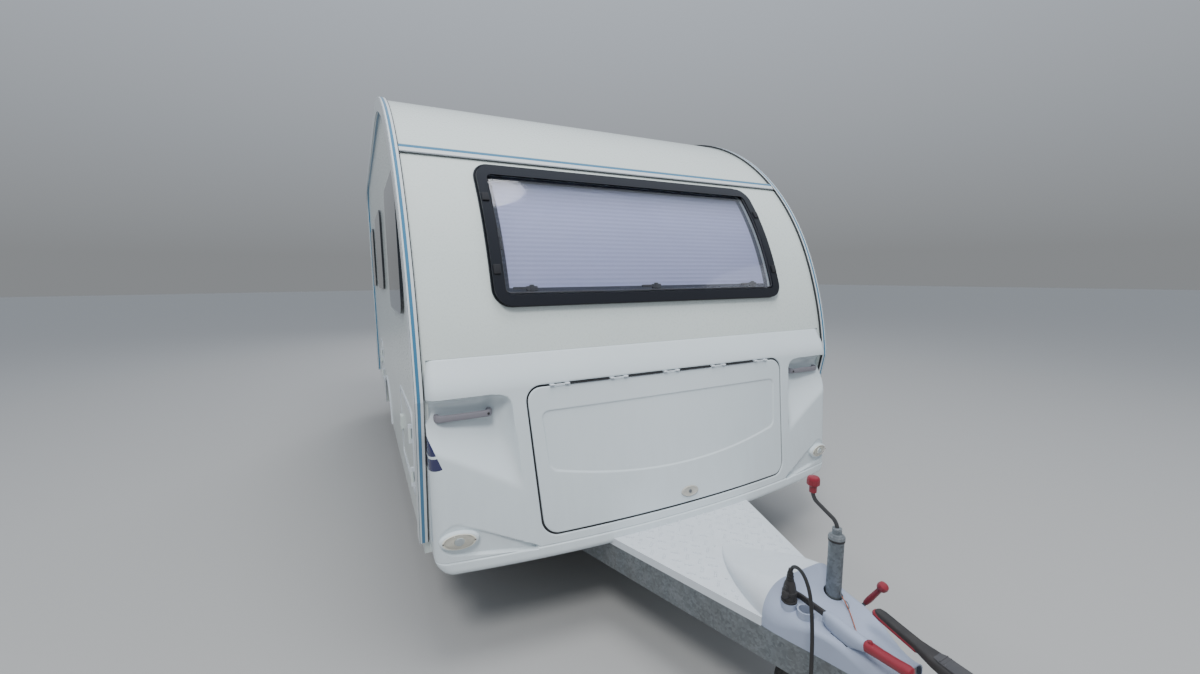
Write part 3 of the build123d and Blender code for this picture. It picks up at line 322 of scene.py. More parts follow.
def fanMoulding(s):
    paint = finishes["moulding_white"].copy()
    paint.name = "panel_moulding"
    tree = paint.node_tree
    base = tree.nodes["Principled BSDF"].inputs["Base Color"]
    place = next(node for node in tree.nodes if node.bl_idname == "ShaderNodeTexCoord").outputs["Object"]
    split = axes(tree, place)
    inward = maths(tree, "ADD", split["X"], s["x"])
    down = maths(tree, "SUBTRACT", s["z"], split["Z"])
    away = maths(tree, "SQRT", maths(tree, "ADD", maths(tree, "MULTIPLY", inward, inward),
                                     maths(tree, "MULTIPLY", down, down)))
    inside = maths(tree, "MULTIPLY", maths(tree, "LESS_THAN", inward, maths(tree, "MULTIPLY", down, s["lean"])),
                   maths(tree, "LESS_THAN", away, s["radius"]))
    gap = maths(tree, "MULTIPLY", maths(tree, "GREATER_THAN", away, s["gapIn"]),
                maths(tree, "LESS_THAN", away, s["gapOut"]))
    fan = maths(tree, "MULTIPLY", inside, maths(tree, "SUBTRACT", 1.0, gap))
    feed(tree, base, mixColour(tree, fan, base.links[0].from_socket, s["navy"]))
    return paint


finishes["panel_moulding"] = fanMoulding(fanSizes)


def zincMaterial(name, s):
    paint, tree, sockets, place = startMaterial(name)
    zinc = addNode(tree, "Group", {"Vector": place, "Scale": s["scale"], "Light": s["light"], "Dark": s["dark"]},
                   node_tree=zincGroup).outputs
    film = addFilm(tree, place, zinc["Colour"], s["drift"], s["grain"], s["film"], s["rough"])
    feed(tree, sockets["Base Color"], film["Colour"])
    feed(tree, sockets["Roughness"], maths(tree, "ADD", zinc["Roughness"], film["Roughness"], clamp=True))
    sockets["Metallic"].default_value = s["metal"]
    addBump(tree, sockets, maths(tree, "ADD", zinc["Height"], film["Height"]), s["depth"])
    return paint


for name, scale, light, dark in (("galvanised", 120.0, (0.26, 0.295, 0.32, 1), (0.095, 0.115, 0.13, 1)),
                                 ("pale_zinc", 140.0, (0.34, 0.37, 0.39, 1), (0.16, 0.18, 0.20, 1))):
    finishes[name] = zincMaterial(name, {
        "scale": scale, "light": light, "dark": dark, "drift": 0.25, "grain": 260.0, "film": 0.5,
        "rough": (0.0, 0.12), "metal": 0.6, "depth": 0.00025})


def glassMaterial(name, s):
    paint, tree, sockets, place = startMaterial(name)
    haze = noise(tree, place, s["hazeScale"], 5.0)
    feed(tree, sockets["Roughness"], spreadTo(tree, haze, s["rough"], s["rough"] + s["haze"]))
    sockets["Base Color"].default_value = s["colour"]
    sockets["Transmission Weight"].default_value = 1.0
    sockets["IOR"].default_value = s["bending"]
    addBump(tree, sockets, noise(tree, place, s["waveScale"], 1.0), s["wave"])
    return paint


for name, colour, rough in (("window_pane", (0.93, 0.94, 1.0, 1), 0.02), ("lamp_glass", (0.99, 0.99, 0.98, 1), 0.03)):
    finishes[name] = glassMaterial(name, {"colour": colour, "rough": rough, "haze": 0.05, "hazeScale": 6.0,
                                          "bending": 1.45, "wave": 0.0008, "waveScale": 3.0})


def boardMaterial(name, s):
    paint, tree, sockets, place = startMaterial(name)
    long = addNode(tree, "Mapping", {"Vector": place, "Scale": s["stretch"]}).outputs[0]
    grain = noise(tree, long, s["grain"], 6.0, Distortion=s["bend"])
    dark, light = ((*[c * share for c in s["colour"]], 1) for share in s["shares"])
    feed(tree, sockets["Base Color"], mixColour(tree, grain, dark, light))
    feed(tree, sockets["Roughness"], ramp(tree, grain, *s["rough"]))
    addBump(tree, sockets, grain, s["depth"])
    return paint


finishes["floor_board"] = boardMaterial("floor_board", {
    "colour": (0.11, 0.085, 0.06), "shares": (0.6, 1.35), "stretch": (26.0, 2.0, 26.0), "grain": 2.0, "bend": 0.6,
    "rough": (-2.0, 1.6), "depth": 0.0004})


# Bands of colour along the rails and the joint strip: each has the place in metres where it starts
bandFinish = {"grain": 200.0, "film": 0.2, "rough": (0.26, 0.36), "coat": 0.4, "depth": 0.00004}


def bandMaterial(name, s, b):
    paint, tree, sockets, place = startMaterial(name)
    across = maths(tree, "ABSOLUTE", axes(tree, place)[s["axis"]])
    share = maths(tree, "DIVIDE", maths(tree, "SUBTRACT", across, s["start"]), s["span"], clamp=True)
    bands = addNode(tree, "ValToRGB", {"Fac": share})
    bands.color_ramp.interpolation = "CONSTANT"
    while len(bands.color_ramp.elements) < len(s["bands"]):
        bands.color_ramp.elements.new(0.5)
    for element, (at, colour) in zip(bands.color_ramp.elements, s["bands"]):
        element.position = (at - s["start"]) / s["span"]
        element.color = (*colour, 1)
    film = addFilm(tree, place, bands.outputs["Color"], plainDrift, b["grain"], b["film"], b["rough"])
    feed(tree, sockets["Base Color"], film["Colour"])
    feed(tree, sockets["Roughness"], film["Roughness"])
    sockets["Coat Weight"].default_value = b["coat"]
    addBump(tree, sockets, film["Height"], b["depth"])
    return paint


stripeWhite, stripeBlue, sealBlack = (0.66, 0.71, 0.73), (0.050, 0.190, 0.330), (0.015, 0.017, 0.022)
railBands = bandMaterial("railBands", {"axis": "X", "start": 1.060, "span": 0.070, "bands": (
    (1.060, stripeWhite), (1.0845, sealBlack), (1.0882, stripeWhite), (1.0985, stripeBlue), (1.1105, stripeWhite),
    (1.1170, (0.06, 0.09, 0.12)), (1.1188, stripeWhite))}, bandFinish)
stripBands = bandMaterial("stripBands", {"axis": "Z", "start": 2.060, "span": 0.050, "bands": (
    (2.060, (0.20, 0.22, 0.24)), (2.0725, stripeWhite), (2.0905, stripeBlue), (2.1035, (0.30, 0.38, 0.44)))},
    bandFinish)


# The blind: a pleated cloth, folded every 20 mm up the window, dark round its edges, with painted shade darkening its
# top
def clothMaterial(name, s):
    paint, tree, sockets, place = startMaterial(name)
    split = axes(tree, place)
    high = split["Z"]
    fold = maths(tree, "PINGPONG", high, s["pleat"])
    wave = addNode(tree, "TexWave", {"Vector": place, "Scale": s["weave"], "Distortion": s["weaveBend"]})
    weave = wave.outputs["Fac"]
    overX = maths(tree, "SUBTRACT", maths(tree, "ABSOLUTE", split["X"]), s["borderX"])
    overZ = maths(tree, "SUBTRACT", maths(tree, "ABSOLUTE", maths(tree, "SUBTRACT", high, s["middleZ"])),
                  s["borderZ"])
    edgeAndPaintedShade = maths(tree, "GREATER_THAN", maths(tree, "MAXIMUM", overX, overZ), 0.0)
    cloth = mixColour(tree, noise(tree, place, s["cloud"], 2.0), s["low"], s["high"])
    # Painted shade: towards its top the blind is mixed into the same dark colour as its edges
    shade = ramp(tree, high, s["shadeLow"], s["shadeHigh"])
    shade = maths(tree, "MULTIPLY", maths(tree, "MULTIPLY", shade, shade), s["shade"])
    edgeAndPaintedShade = maths(tree, "MAXIMUM", edgeAndPaintedShade, shade)
    feed(tree, sockets["Base Color"], mixColour(tree, edgeAndPaintedShade, cloth, s["edgeAndPaintedShade"]))
    feed(tree, sockets["Roughness"], ramp(tree, weave, *s["rough"]))
    height = maths(tree, "MULTIPLY_ADD", fold, 1.0 / s["pleat"], maths(tree, "MULTIPLY", weave, s["weaveShare"]))
    addBump(tree, sockets, height, s["depth"])
    sockets["Sheen Weight"].default_value = s["sheen"]
    return paint


finishes["blind_cloth"] = clothMaterial("blind_cloth", {
    "pleat": 0.010, "weave": 900.0, "weaveBend": 0.4, "weaveShare": 0.05, "depth": 0.0012, "cloud": 1.4,
    "low": (0.50, 0.535, 0.76, 1), "high": (0.61, 0.64, 0.84, 1), "rough": (-3.2, 1.4), "sheen": 0.15,
    "borderX": 0.716, "middleZ": 1.7275, "borderZ": 0.236, "edgeAndPaintedShade": (0.045, 0.055, 0.085, 1),
    "shade": 0.75, "shadeLow": 1.80, "shadeHigh": 1.975})

for row in frame["record"]["subparts"]:
    for slot in nodes[row["node"]].material_slots:
        slot.material = finishes[row["material_slot"]]
for node, bands in (("edge_rails", railBands), ("front_strip", stripBands)):
    for slot in nodes[node].material_slots:
        slot.material = bands
print("finishes ready:", len(finishes))


# Front moulding and its lid: one formula gives the face of both, so their curves run on across the gap

moulding = {
    "low": 0.404, "top": 1.230, "lidTop": 1.095, "lidLow": 0.500,
    "lidHalfTop": 0.703, "lidHalfLow": 0.666, "lidCorner": 0.060, "gap": 0.007, "lidPlay": 0.0015,
    "lead": 0.047, "topLead": -0.018, "topSlope": -0.60, "sideSlope": 0.0338, "bow": 0.168,
    "sideRound": 0.045, "topRound": 0.006, "footRound": 0.028, "footCorner": 0.070, "back": 0.146,
    "lipHigh": 0.459, "lipProud": 0.003, "lipSoft": 0.004, "groove": 0.0035, "grooveHalf": 0.0022,
    "recessTop": 1.087, "recessInner": 0.770, "recessLean": 0.082, "recessFloor": -0.026, "recessEdge": 0.975,
    "rampTop": 0.905, "rampLean": 0.37, "rampX": (0.745, 1.045), "ramp": 0.595, "rampBlend": 0.03, "deepBlend": 0.007,
    "sideRise": 0.098, "topRise": 0.064, "recessPower": 3.0,
    "lampAt": (1.004, 0.545), "tipAt": (0.705, 0.462), "seatRound": 0.058, "tipRound": 0.007, "seatDeep": 0.003,
    "seatSoft": 0.0055, "smileDeep": 0.0045, "smileWide": 0.007, "smileLow": 0.757, "smileHigh": 0.995,
    "smileDip": 0.076, "smileHalf": 0.626, "smileHalfTop": 0.645, "smileCorner": 0.030,
    "wall": 0.030, "edge": 0.004, "flange": 0.018, "skin": 0.012, "skinStep": 0.006, "skinNarrow": 0.25,
    "skinShares": (0.85, 0.85, 0.8, 0.75, 0.6, 0.5),
    "gasket": ((-0.004, 0.0085), (0.0035, 0.0065), (0.008, 0.0075), (0.008, 0.016), (-0.004, 0.016)),
    # the meshes' rows and columns: a coarse step, and finer ones between two places
    "rowStep": 0.0065, "rowBands": ((0.49, 0.60, 0.003), (1.015, 1.092, 0.0032)),
    "footStep": 0.006, "footBands": ((0.448, 0.466, 0.0011), (0.466, 0.5, 0.003)),
    "sideFrom": 0.743, "sideStep": 0.0072, "sideBands": ((0.743, 0.88, 0.0048), (0.96, 1.05, 0.0055)),
    "middleColumns": 90, "lidRowStep": 0.009, "lidRowBands": ((0.672, 0.765, 0.0022), (0.985, 1.003, 0.0022)),
    "lidStep": 0.014, "lidBands": ((-0.937, -0.905, 0.003), (0.905, 0.937, 0.003)),
}


def softMax(a, b, blend):
    near = max(blend - abs(a - b), 0) / blend
    return max(a, b) + near * near * blend / 4


def softStep(t):
    t = min(max(t, 0.0), 1.0)
    return t * t * (3 - 2 * t)


# How far the plain face stands ahead of the wall's knee
def plainLead(x, z, s):
    slope = s["sideSlope"] + s["bow"] * (1 - (x / panelHalf) ** 2)
    drop = s["lidTop"] - z
    if drop >= 0:
        return s["lead"] + slope * drop
    span = s["top"] - s["lidTop"]
    t = -drop / span
    return ((2 * t ** 3 - 3 * t ** 2 + 1) * s["lead"] - (t ** 3 - 2 * t ** 2 + t) * span * slope
            + (3 * t ** 2 - 2 * t ** 3) * s["topLead"] + (t ** 3 - t ** 2) * span * s["topSlope"])


# Distance from a drop shape between two circles, less than nothing inside it
def dropDistance(x, z, s):
    ax, az = s["lampAt"]
    bx, bz = s["tipAt"]
    long = hypot(bx - ax, bz - az)
    ex, ez = (bx - ax) / long, (bz - az) / long
    along = (x - ax) * ex + (z - az) * ez
    aside = abs((x - ax) * ez - (z - az) * ex)
    taper = (s["seatRound"] - s["tipRound"]) / long
    flat = sqrt(1 - taper * taper)
    where = -taper * aside + flat * along
    if where < 0:
        return hypot(aside, along) - s["seatRound"]
    if where > flat * long:
        return hypot(aside, along - long) - s["tipRound"]
    return flat * aside + taper * along - s["seatRound"]


# How far the outer edges of the moulding curve back at a point
def edgeTurn(wide, z, s):
    corner = s["footCorner"]
    past, under = wide - panelHalf + corner, s["low"] + corner - z
    radius, inside = s["sideRound"], panelHalf - wide
    if past > 0 and under > 0:
        inside = corner - hypot(past, under)
        radius = s["footRound"] + (s["sideRound"] - s["footRound"]) * (past / max(hypot(past, under), 1e-9)) ** 2
    elif under > 0:
        radius, inside = s["footRound"], z - s["low"]
    turn = 0.0
    if inside < radius:
        turn = radius - sqrt(max(radius ** 2 - (radius - inside) ** 2, 0))
    if s["top"] - z < s["topRound"]:
        turn += s["topRound"] - sqrt(max(s["topRound"] ** 2 - (s["topRound"] - s["top"] + z) ** 2, 0))
    return turn


# The whole face: plain curve, foot lip and groove, handle recess, lamp seat
def faceLead(x, z, s):
    wide = abs(x)
    turn = edgeTurn(wide, z, s)
    lead = plainLead(x, z, s) + s["lipProud"] * softStep((s["lipHigh"] - z) / s["lipSoft"] + 0.5)
    lead -= s["groove"] * exp(-((z - s["lipHigh"]) / s["grooveHalf"]) ** 2)
    lead -= turn
    inner = s["recessInner"] - s["recessLean"] * (s["recessTop"] - z)
    if wide > inner and z < s["recessTop"]:
        p = max(0.0, 1 - (wide - inner) / s["sideRise"])
        q = max(0.0, 1 - (s["recessTop"] - z) / s["topRise"])
        rim = min((p ** s["recessPower"] + q ** s["recessPower"]) ** (1 / s["recessPower"]), 1.0)
        high = (1 - sqrt(1 - (s["recessEdge"] * rim) ** 2)) / (1 - sqrt(1 - s["recessEdge"] ** 2))
        rampTop = s["rampTop"] + s["rampLean"] * (min(wide, s["rampX"][1]) - s["rampX"][0])
        deep = softMax(s["recessFloor"], s["recessFloor"] + s["ramp"] * (rampTop - z), s["rampBlend"])
        deep = -softMax(-lead, -deep, s["deepBlend"])
        lead = deep + (lead - deep) * high
    off = dropDistance(wide, z, s)
    if off < 2 * s["seatSoft"]:
        top = s["lampAt"][1] + s["seatRound"]
        seat = min(lead, plainLead(x, top, s) - turn - s["seatDeep"])
        lead += (seat - lead) * softStep(0.5 - off / s["seatSoft"])
    return lead


def facePoint(x, z, s):
    return Vector((x, bodyFront - faceLead(x, z, s), z))


# A plate has leaning sides and rounded corners: half width low and at the top, low, top, and its corners
def lidPlate(s, grow, corner=None):
    corner = s["lidCorner"] + (grow if corner is None else corner)
    return (s["lidHalfLow"] + grow, s["lidHalfTop"] + grow, s["lidLow"] - grow, s["lidTop"] + grow, corner, corner)


def plateHalf(z, plate):
    halfLow, halfTop, low, top, lowCorner, topCorner = plate
    half = halfLow + (halfTop - halfLow) * (z - low) / (top - low)
    for corner, inside in ((lowCorner, low + lowCorner - z), (topCorner, z - top + topCorner)):
        if inside > 0:
            half -= corner - sqrt(max(corner ** 2 - inside ** 2, 0))
    return half


def plateOutward(point, plate):
    low, top = plate[2:4]
    if point.z > top - 1e-6 or point.z < low + 1e-6:
        return Vector((0, 0, 1 if point.z > low + 1e-6 else -1))
    tiny = 1e-5
    slope = (plateHalf(point.z + tiny, plate) - plateHalf(point.z - tiny, plate)) / (2 * tiny)
    return Vector((1 if point.x > 0 else -1, 0, -slope)).normalized()


# Places from low to high, a coarse step apart, and a fine step apart inside the bands
def spreadPlaces(low, high, coarse, bands=()):
    places = [low]
    while places[-1] < high - 1e-9:
        here = places[-1]
        step = min([fine for a, b, fine in bands if a <= here < b] + [coarse])
        ahead = [end for a, b, fine in bands for end in (a, b) if here < end < here + step]
        places.append(min(ahead + [here + step, high]))
    if places[-1] - places[-2] < coarse * 0.1 and len(places) > 2:
        places.pop(-2)
    return places


# Fine rows near both ends of a plate, where its corners are round
def endBands(plate, fine):
    low, high = plate[2:4]
    return ((low, low + 0.004, 0.0008), (low + 0.004, low + 0.02, fine),
            (high - 0.02, high - 0.004, fine), (high - 0.004, high, 0.0008))


def linkPiece(name, mesh, finish):
    piece = bpy.data.objects.new(name, mesh)
    bpy.context.scene.collection.objects.link(piece)
    mesh.materials.append(finishes[finish])
    return piece


def linkMesh(name, work, finish):
    mesh = bpy.data.meshes.new(name)
    work.to_mesh(mesh)
    work.free()
    return linkPiece(name, mesh, finish)


def pickOnly(piece):
    bpy.ops.object.select_all(action="DESELECT")
    bpy.context.view_layer.objects.active = piece
    piece.select_set(True)


def settle(piece, body, slot, *replaced, angle=35):
    pickOnly(piece)
    bpy.ops.object.shade_smooth_by_angle(angle=radians(angle))
    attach(piece, body)
    if replaced:
        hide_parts(*replaced)
    return piece


def addPoints(work, rows):
    return [[work.verts.new(point) for point in row] for row in rows]


# Faces between rows of points. Closed rows run round
def fillRows(work, rows, closed=False, isOpen=lambda row, column: False):
    for row, (here, above) in enumerate(zip(rows, rows[1:])):
        for column in range(len(here) if closed else len(here) - 1):
            after = (column + 1) % len(here)
            if not isOpen(row, column):
                work.faces.new((here[column], here[after], above[after], above[column]))


# A tube through loops of points, whose last loop joins the first
def tubePiece(name, loops, finish):
    work = bmesh.new()
    rows = addPoints(work, loops)
    fillRows(work, rows + rows[:1], closed=True)
    bmesh.ops.recalc_face_normals(work, faces=work.faces)
    return linkMesh(name, work, finish)


def borderEdges(work):
    return [e for e in work.edges if e.is_boundary]


def growEdges(work, edges):
    grown = bmesh.ops.extrude_edge_only(work, edges=edges)["geom"]
    return ([v for v in grown if isinstance(v, bmesh.types.BMVert)],
            [e for e in grown if isinstance(e, bmesh.types.BMEdge)])


# Rolls the edge of a sheet round, in or out along its plate, and takes it back to a wall behind
def rollEdge(work, edges, plate, way, s, steps=3):
    radius = s["edge"]
    for step in range(1, steps + 1):
        points, edges = growEdges(work, edges)
        before, after = radians(90) * (step - 1) / steps, radians(90) * step / steps
        for point in points:
            point.co += plateOutward(point.co, plate) * way * radius * (sin(after) - sin(before))
            point.co.y += radius * (cos(before) - cos(after))
    points, edges = growEdges(work, edges)
    for point in points:
        point.co.y += s["wall"] - radius


def addFrontPanel(s):
    middle = s["middleColumns"]
    hole = lidPlate(s, s["gap"] + s["edge"])
    around = (panelHalf, panelHalf, s["low"], s["top"], s["footCorner"], 0.0)
    rows = [s["low"] + s["footRound"] * (1 - sin(radians(turn))) for turn in range(90, 0, -10)]
    rows += spreadPlaces(s["low"] + s["footRound"], hole[2], s["footStep"], s["footBands"])
    lowRow = len(rows) - 1
    rows += spreadPlaces(hole[2], hole[3], s["rowStep"], endBands(hole, 0.0025) + s["rowBands"])[1:]
    highRow = len(rows) - 1
    rows += spreadPlaces(hole[3], s["top"] - s["topRound"], s["rowStep"])[1:]
    rows += [s["top"] - s["topRound"] * (1 - sin(radians(turn))) for turn in (30, 60, 90)]
    roll = [panelHalf - s["sideRound"] * (1 - sin(radians(turn))) for turn in range(90, 0, -8)]
    near, far = s["sideFrom"], panelHalf - s["sideRound"]
    places = spreadPlaces(near, far, s["sideStep"], s["sideBands"])
    table = []
    for z in rows:
        half = plateHalf(z, around)
        inner = plateHalf(min(max(z, hole[2]), hole[3]), hole)
        side = [inner + (place - near) / (far - near) * (half - s["sideRound"] - inner) for place in places]
        side += [place - panelHalf + half for place in reversed(roll)]
        line = [-x for x in reversed(side)]
        line += [-inner + 2 * inner * step / middle for step in range(1, middle)] + side
        table.append([facePoint(x, z, s) for x in line])
    work = bmesh.new()
    first = len(places) + len(roll) - 1
    fillRows(work, addPoints(work, table),
             isOpen=lambda row, column: lowRow <= row < highRow and first <= column < first + middle)
    rim = borderEdges(work)
    corners = [e.verts[0].co for e in rim]
    isHole = [abs(co.x) < s["sideFrom"] + s["gap"] and hole[2] - 0.001 < co.z < hole[3] + 0.001 for co in corners]
    outRim = [e for e, found in zip(rim, isHole) if not found]
    rollEdge(work, [e for e, found in zip(rim, isHole) if found], hole, -1, s)
    for point in growEdges(work, outRim)[0]:
        point.co.y = bodyFront + s["back"]
    bmesh.ops.recalc_face_normals(work, faces=work.faces)
    if sum(f.normal.y * f.calc_area() for f in work.faces) > 0:
        bmesh.ops.reverse_faces(work, faces=work.faces)
    piece = linkMesh("front_moulding", work, "panel_moulding")
    shell = piece.modifiers.new("shell", "SOLIDIFY")
    shell.thickness = s["edge"]
    shell.offset = -1
    pickOnly(piece)
    bpy.ops.object.modifier_apply(modifier="shell")
    return settle(piece, "root", "moulding_white", "front_panel")


# How deep the lid's smiling panel lies at a point
def smileDeep(x, z, s):
    radius = (s["smileHalf"] ** 2 + s["smileDip"] ** 2) / (2 * s["smileDip"])
    middle = s["smileLow"] - s["smileDip"] + radius
    lean = Vector((s["smileHigh"] - s["smileLow"], s["smileHalfTop"] - s["smileHalf"])).normalized()
    away = [hypot(x, z - middle) - radius, z - s["smileHigh"],
            (abs(x) - s["smileHalf"]) * lean.x - (z - s["smileLow"]) * lean.y]
    past = [d + s["smileCorner"] for d in away]
    off = min(max(past), 0) + sqrt(sum(max(d, 0) ** 2 for d in past)) - s["smileCorner"]
    return s["smileDeep"] * softStep(0.5 - off / s["smileWide"])


def addLid(s):
    plate = lidPlate(s, -s["edge"] - s["lidPlay"], -s["edge"])
    rows = spreadPlaces(plate[2], plate[3], s["lidRowStep"], endBands(plate, 0.003) + s["lidRowBands"])
    shares = spreadPlaces(-1.0, 1.0, s["lidStep"], s["lidBands"])
    table = []
    for z in rows:
        line = [share * plateHalf(z, plate) for share in shares]
        table.append([facePoint(x, z, s) + Vector((0, smileDeep(x, z, s), 0)) for x in line])
    work = bmesh.new()
    fillRows(work, addPoints(work, table))
    rollEdge(work, borderEdges(work), plate, 1, s)
    rim = borderEdges(work)
    for inward, forward in ((s["flange"], 0.0), (s["skinStep"], s["skin"])):    # then the step to the inner skin
        points, rim = growEdges(work, rim)
        for point in points:
            point.co -= plateOutward(point.co, plate) * inward
            point.co.y -= forward
    middleHigh = (plate[2] + plate[3]) / 2
    for share in s["skinShares"]:                               # rings of the inner skin, each smaller
        points, rim = growEdges(work, rim)
        for point in points:
            point.co.z = middleHigh + (point.co.z - middleHigh) * share
            point.co.x *= 1 - (1 - share) * s["skinNarrow"]
            point.co.y = bodyFront - plainLead(point.co.x, point.co.z, s) + s["wall"] - s["skin"]
    bmesh.ops.triangle_fill(work, edges=rim, use_beauty=True)
    bmesh.ops.recalc_face_normals(work, faces=work.faces)
    return settle(linkMesh("locker_lid_skin", work, "moulding_white"), "locker_lid", "moulding_white", "locker_lid")


# The black rubber seal that shows in the gap round the lid
def addLidGasket(s):
    loops = []
    for grow, back in s["gasket"]:
        plate = lidPlate(s, grow)
        heights = [plate[2] + plate[4] * (1 - cos(radians(turn))) for turn in range(0, 91, 9)]
        heights += [plate[2] + plate[4] + (plate[3] - plate[2] - plate[4] - plate[5]) * i / 40 for i in range(1, 40)]
        heights += [plate[3] - plate[5] * (1 - cos(radians(turn))) for turn in range(90, -1, -9)]
        right = [(plateHalf(z, plate), z) for z in heights]
        shares = [1 - 2 * i / 60 for i in range(1, 60)]
        loop = right + [(right[-1][0] * share, plate[3]) for share in shares]
        loop += [(-x, z) for x, z in reversed(right)] + [(-right[0][0] * share, plate[2]) for share in shares]
        loops.append([(x, bodyFront - plainLead(x, z, s) + back, z) for x, z in loop])
    settle(tubePiece("lid_gasket", loops, "window_black"), "root", "black_plastic")


addLidGasket(moulding)
frontPanel = addFrontPanel(moulding)
lockerLid = addLid(moulding)
print("front moulding and lid:", len(frontPanel.data.polygons), len(lockerLid.data.polygons))


# Ways of making: turned, bent, swept and block pieces

def meshPiece(name, points, edges, faces, finish):
    mesh = bpy.data.meshes.new(name)
    mesh.from_pydata(points, edges, faces)
    return linkPiece(name, mesh, finish)


def linePiece(name, points, finish):
    return meshPiece(name, points, [(i, i + 1) for i in range(len(points) - 1)], [], finish)


# Runs mesh tools, each with its settings, on the whole of a piece
def editAll(piece, *steps):
    pickOnly(piece)
    bpy.ops.object.mode_set(mode="EDIT")
    for tool, settings in steps:
        bpy.ops.mesh.select_all(action="SELECT")
        tool(**settings)
    bpy.ops.object.mode_set(mode="OBJECT")


def turnedPiece(name, profile, middle, axis, finish, steps=48):
    piece = linePiece(name, [(radius, 0, high) for radius, high in profile], finish)
    editAll(piece, (bpy.ops.mesh.spin, {"steps": steps, "angle": 2 * pi, "center": (0, 0, 0), "axis": (0, 0, 1)}),
            (bpy.ops.mesh.remove_doubles, {"threshold": 0.00001}),
            (bpy.ops.mesh.normals_make_consistent, {"inside": False}))
    turn = Vector((0, 0, 1)).rotation_difference(Vector(axis)).to_matrix().to_4x4()
    piece.data.transform(Matrix.Translation(middle) @ turn)
    return piece


# An oval turned piece: its width runs along right, its height is its width times ratio
def ovalPiece(name, profile, ratio, place, right, normal, finish, steps=56):
    piece = turnedPiece(name, profile, (0, 0, 0), (0, 0, 1), finish, steps)
    right, normal = Vector(right).normalized(), Vector(normal).normalized()
    turn = Matrix((right, normal.cross(right) * ratio, normal)).transposed().to_4x4()
    piece.data.transform(Matrix.Translation(place) @ turn)
    return piece


def bentRod(name, points, radius, finish, around=6, bend=0):
    piece = linePiece(name, points, finish)
    pickOnly(piece)
    if len(points) > 2:
        bpy.ops.object.mode_set(mode="EDIT")
        bpy.ops.mesh.select_all(action="DESELECT")
        bpy.ops.object.mode_set(mode="OBJECT")
        for vert in piece.data.vertices[1:-1]:
            vert.select = True
        bpy.ops.object.mode_set(mode="EDIT")
        bpy.ops.mesh.bevel(offset=bend, segments=7, affect="VERTICES")
        bpy.ops.object.mode_set(mode="OBJECT")
    bpy.ops.object.convert(target="CURVE")
    piece = bpy.context.object
    piece.data.bevel_depth = radius
    piece.data.bevel_resolution = around
    piece.data.use_fill_caps = True
    bpy.ops.object.convert(target="MESH")
    piece = bpy.context.object
    piece.name = name
    piece.data.materials.clear()
    piece.data.materials.append(finishes[finish])
    return piece


# Rows of rounded sections, each: middle, half across, half up, squareness. They stand across the way they run
def sweptPiece(name, rows, finish, around=28, across=(1, 0, 0)):
    across = Vector(across)
    points = []
    middles = [Vector(row[0]) for row in rows]
    for number, (middle, halfWide, halfHigh, square) in enumerate(rows):
        way = (middles[min(number + 1, len(rows) - 1)] - middles[max(number - 1, 0)]).normalized()
        up = across.cross(way).normalized()
        for step in range(around):
            turn = 2 * pi * step / around
            c, s = cos(turn), sin(turn)
            wide = abs(c) ** (2 / square) * (1 if c > 0 else -1) * halfWide
            high = abs(s) ** (2 / square) * (1 if s > 0 else -1) * halfHigh
            points.append(tuple(Vector(middle) + across * wide + up * high))
    faces = []
    for row in range(len(rows) - 1):
        for step in range(around):
            a, b = row * around + step, row * around + (step + 1) % around
            faces.append((a, b, b + around, a + around))
    faces += [tuple(range(around)), tuple(range(len(points) - around, len(points)))]
    piece = meshPiece(name, points, [], faces, finish)
    editAll(piece, (bpy.ops.mesh.normals_make_consistent, {"inside": False}))
    return piece


# Rows of y, z, half across and half up at one x, as a swept piece takes them
def sweepRows(x, rows, square, half=()):
    return [((x, y, z), *(half or own), square) for y, z, *own in rows]


def blockPiece(name, low, high, edge, finish, segments=3):
    bpy.ops.mesh.primitive_cube_add(size=1, location=(0, 0, 0))
    piece = bpy.context.object
    piece.name = name
    piece.data.transform(Matrix.Diagonal((*[b - a for a, b in zip(low, high)], 1)))
    piece.data.materials.append(finishes[finish])
    editAll(piece, (bpy.ops.mesh.bevel, {"offset": edge, "segments": segments, "affect": "EDGES"}))
    piece.data.transform(Matrix.Translation([(a + b) / 2 for a, b in zip(low, high)]))
    return piece


def joinPieces(name, pieces):
    bpy.ops.object.select_all(action="DESELECT")
    for piece in pieces:
        piece.select_set(True)
    bpy.context.view_layer.objects.active = pieces[0]
    if len(pieces) > 1:
        bpy.ops.object.join()
    pieces[0].name = name
    return pieces[0]


def addTurned(name, slot, finish, profile, middle, axis, steps):
    return settle(turnedPiece(name, profile, middle, axis, finish, steps), "root", slot)


def shifted(place, by):
    return tuple(a + b for a, b in zip(place, by))


# Offsets evenly round a circle
def roundPlaces(count, radius, start=0.0):
    turns = [2 * pi * number / count + start for number in range(count)]
    return [(radius * cos(turn), radius * sin(turn)) for turn in turns]


def ringProfile(radius, thick):
    return [(radius + thick * cos(radians(turn)), thick * sin(radians(turn))) for turn in range(0, 361, 30)]


upward = (0, 0, 1)


# Cords: the electric lead's cable and the thin breakaway cable

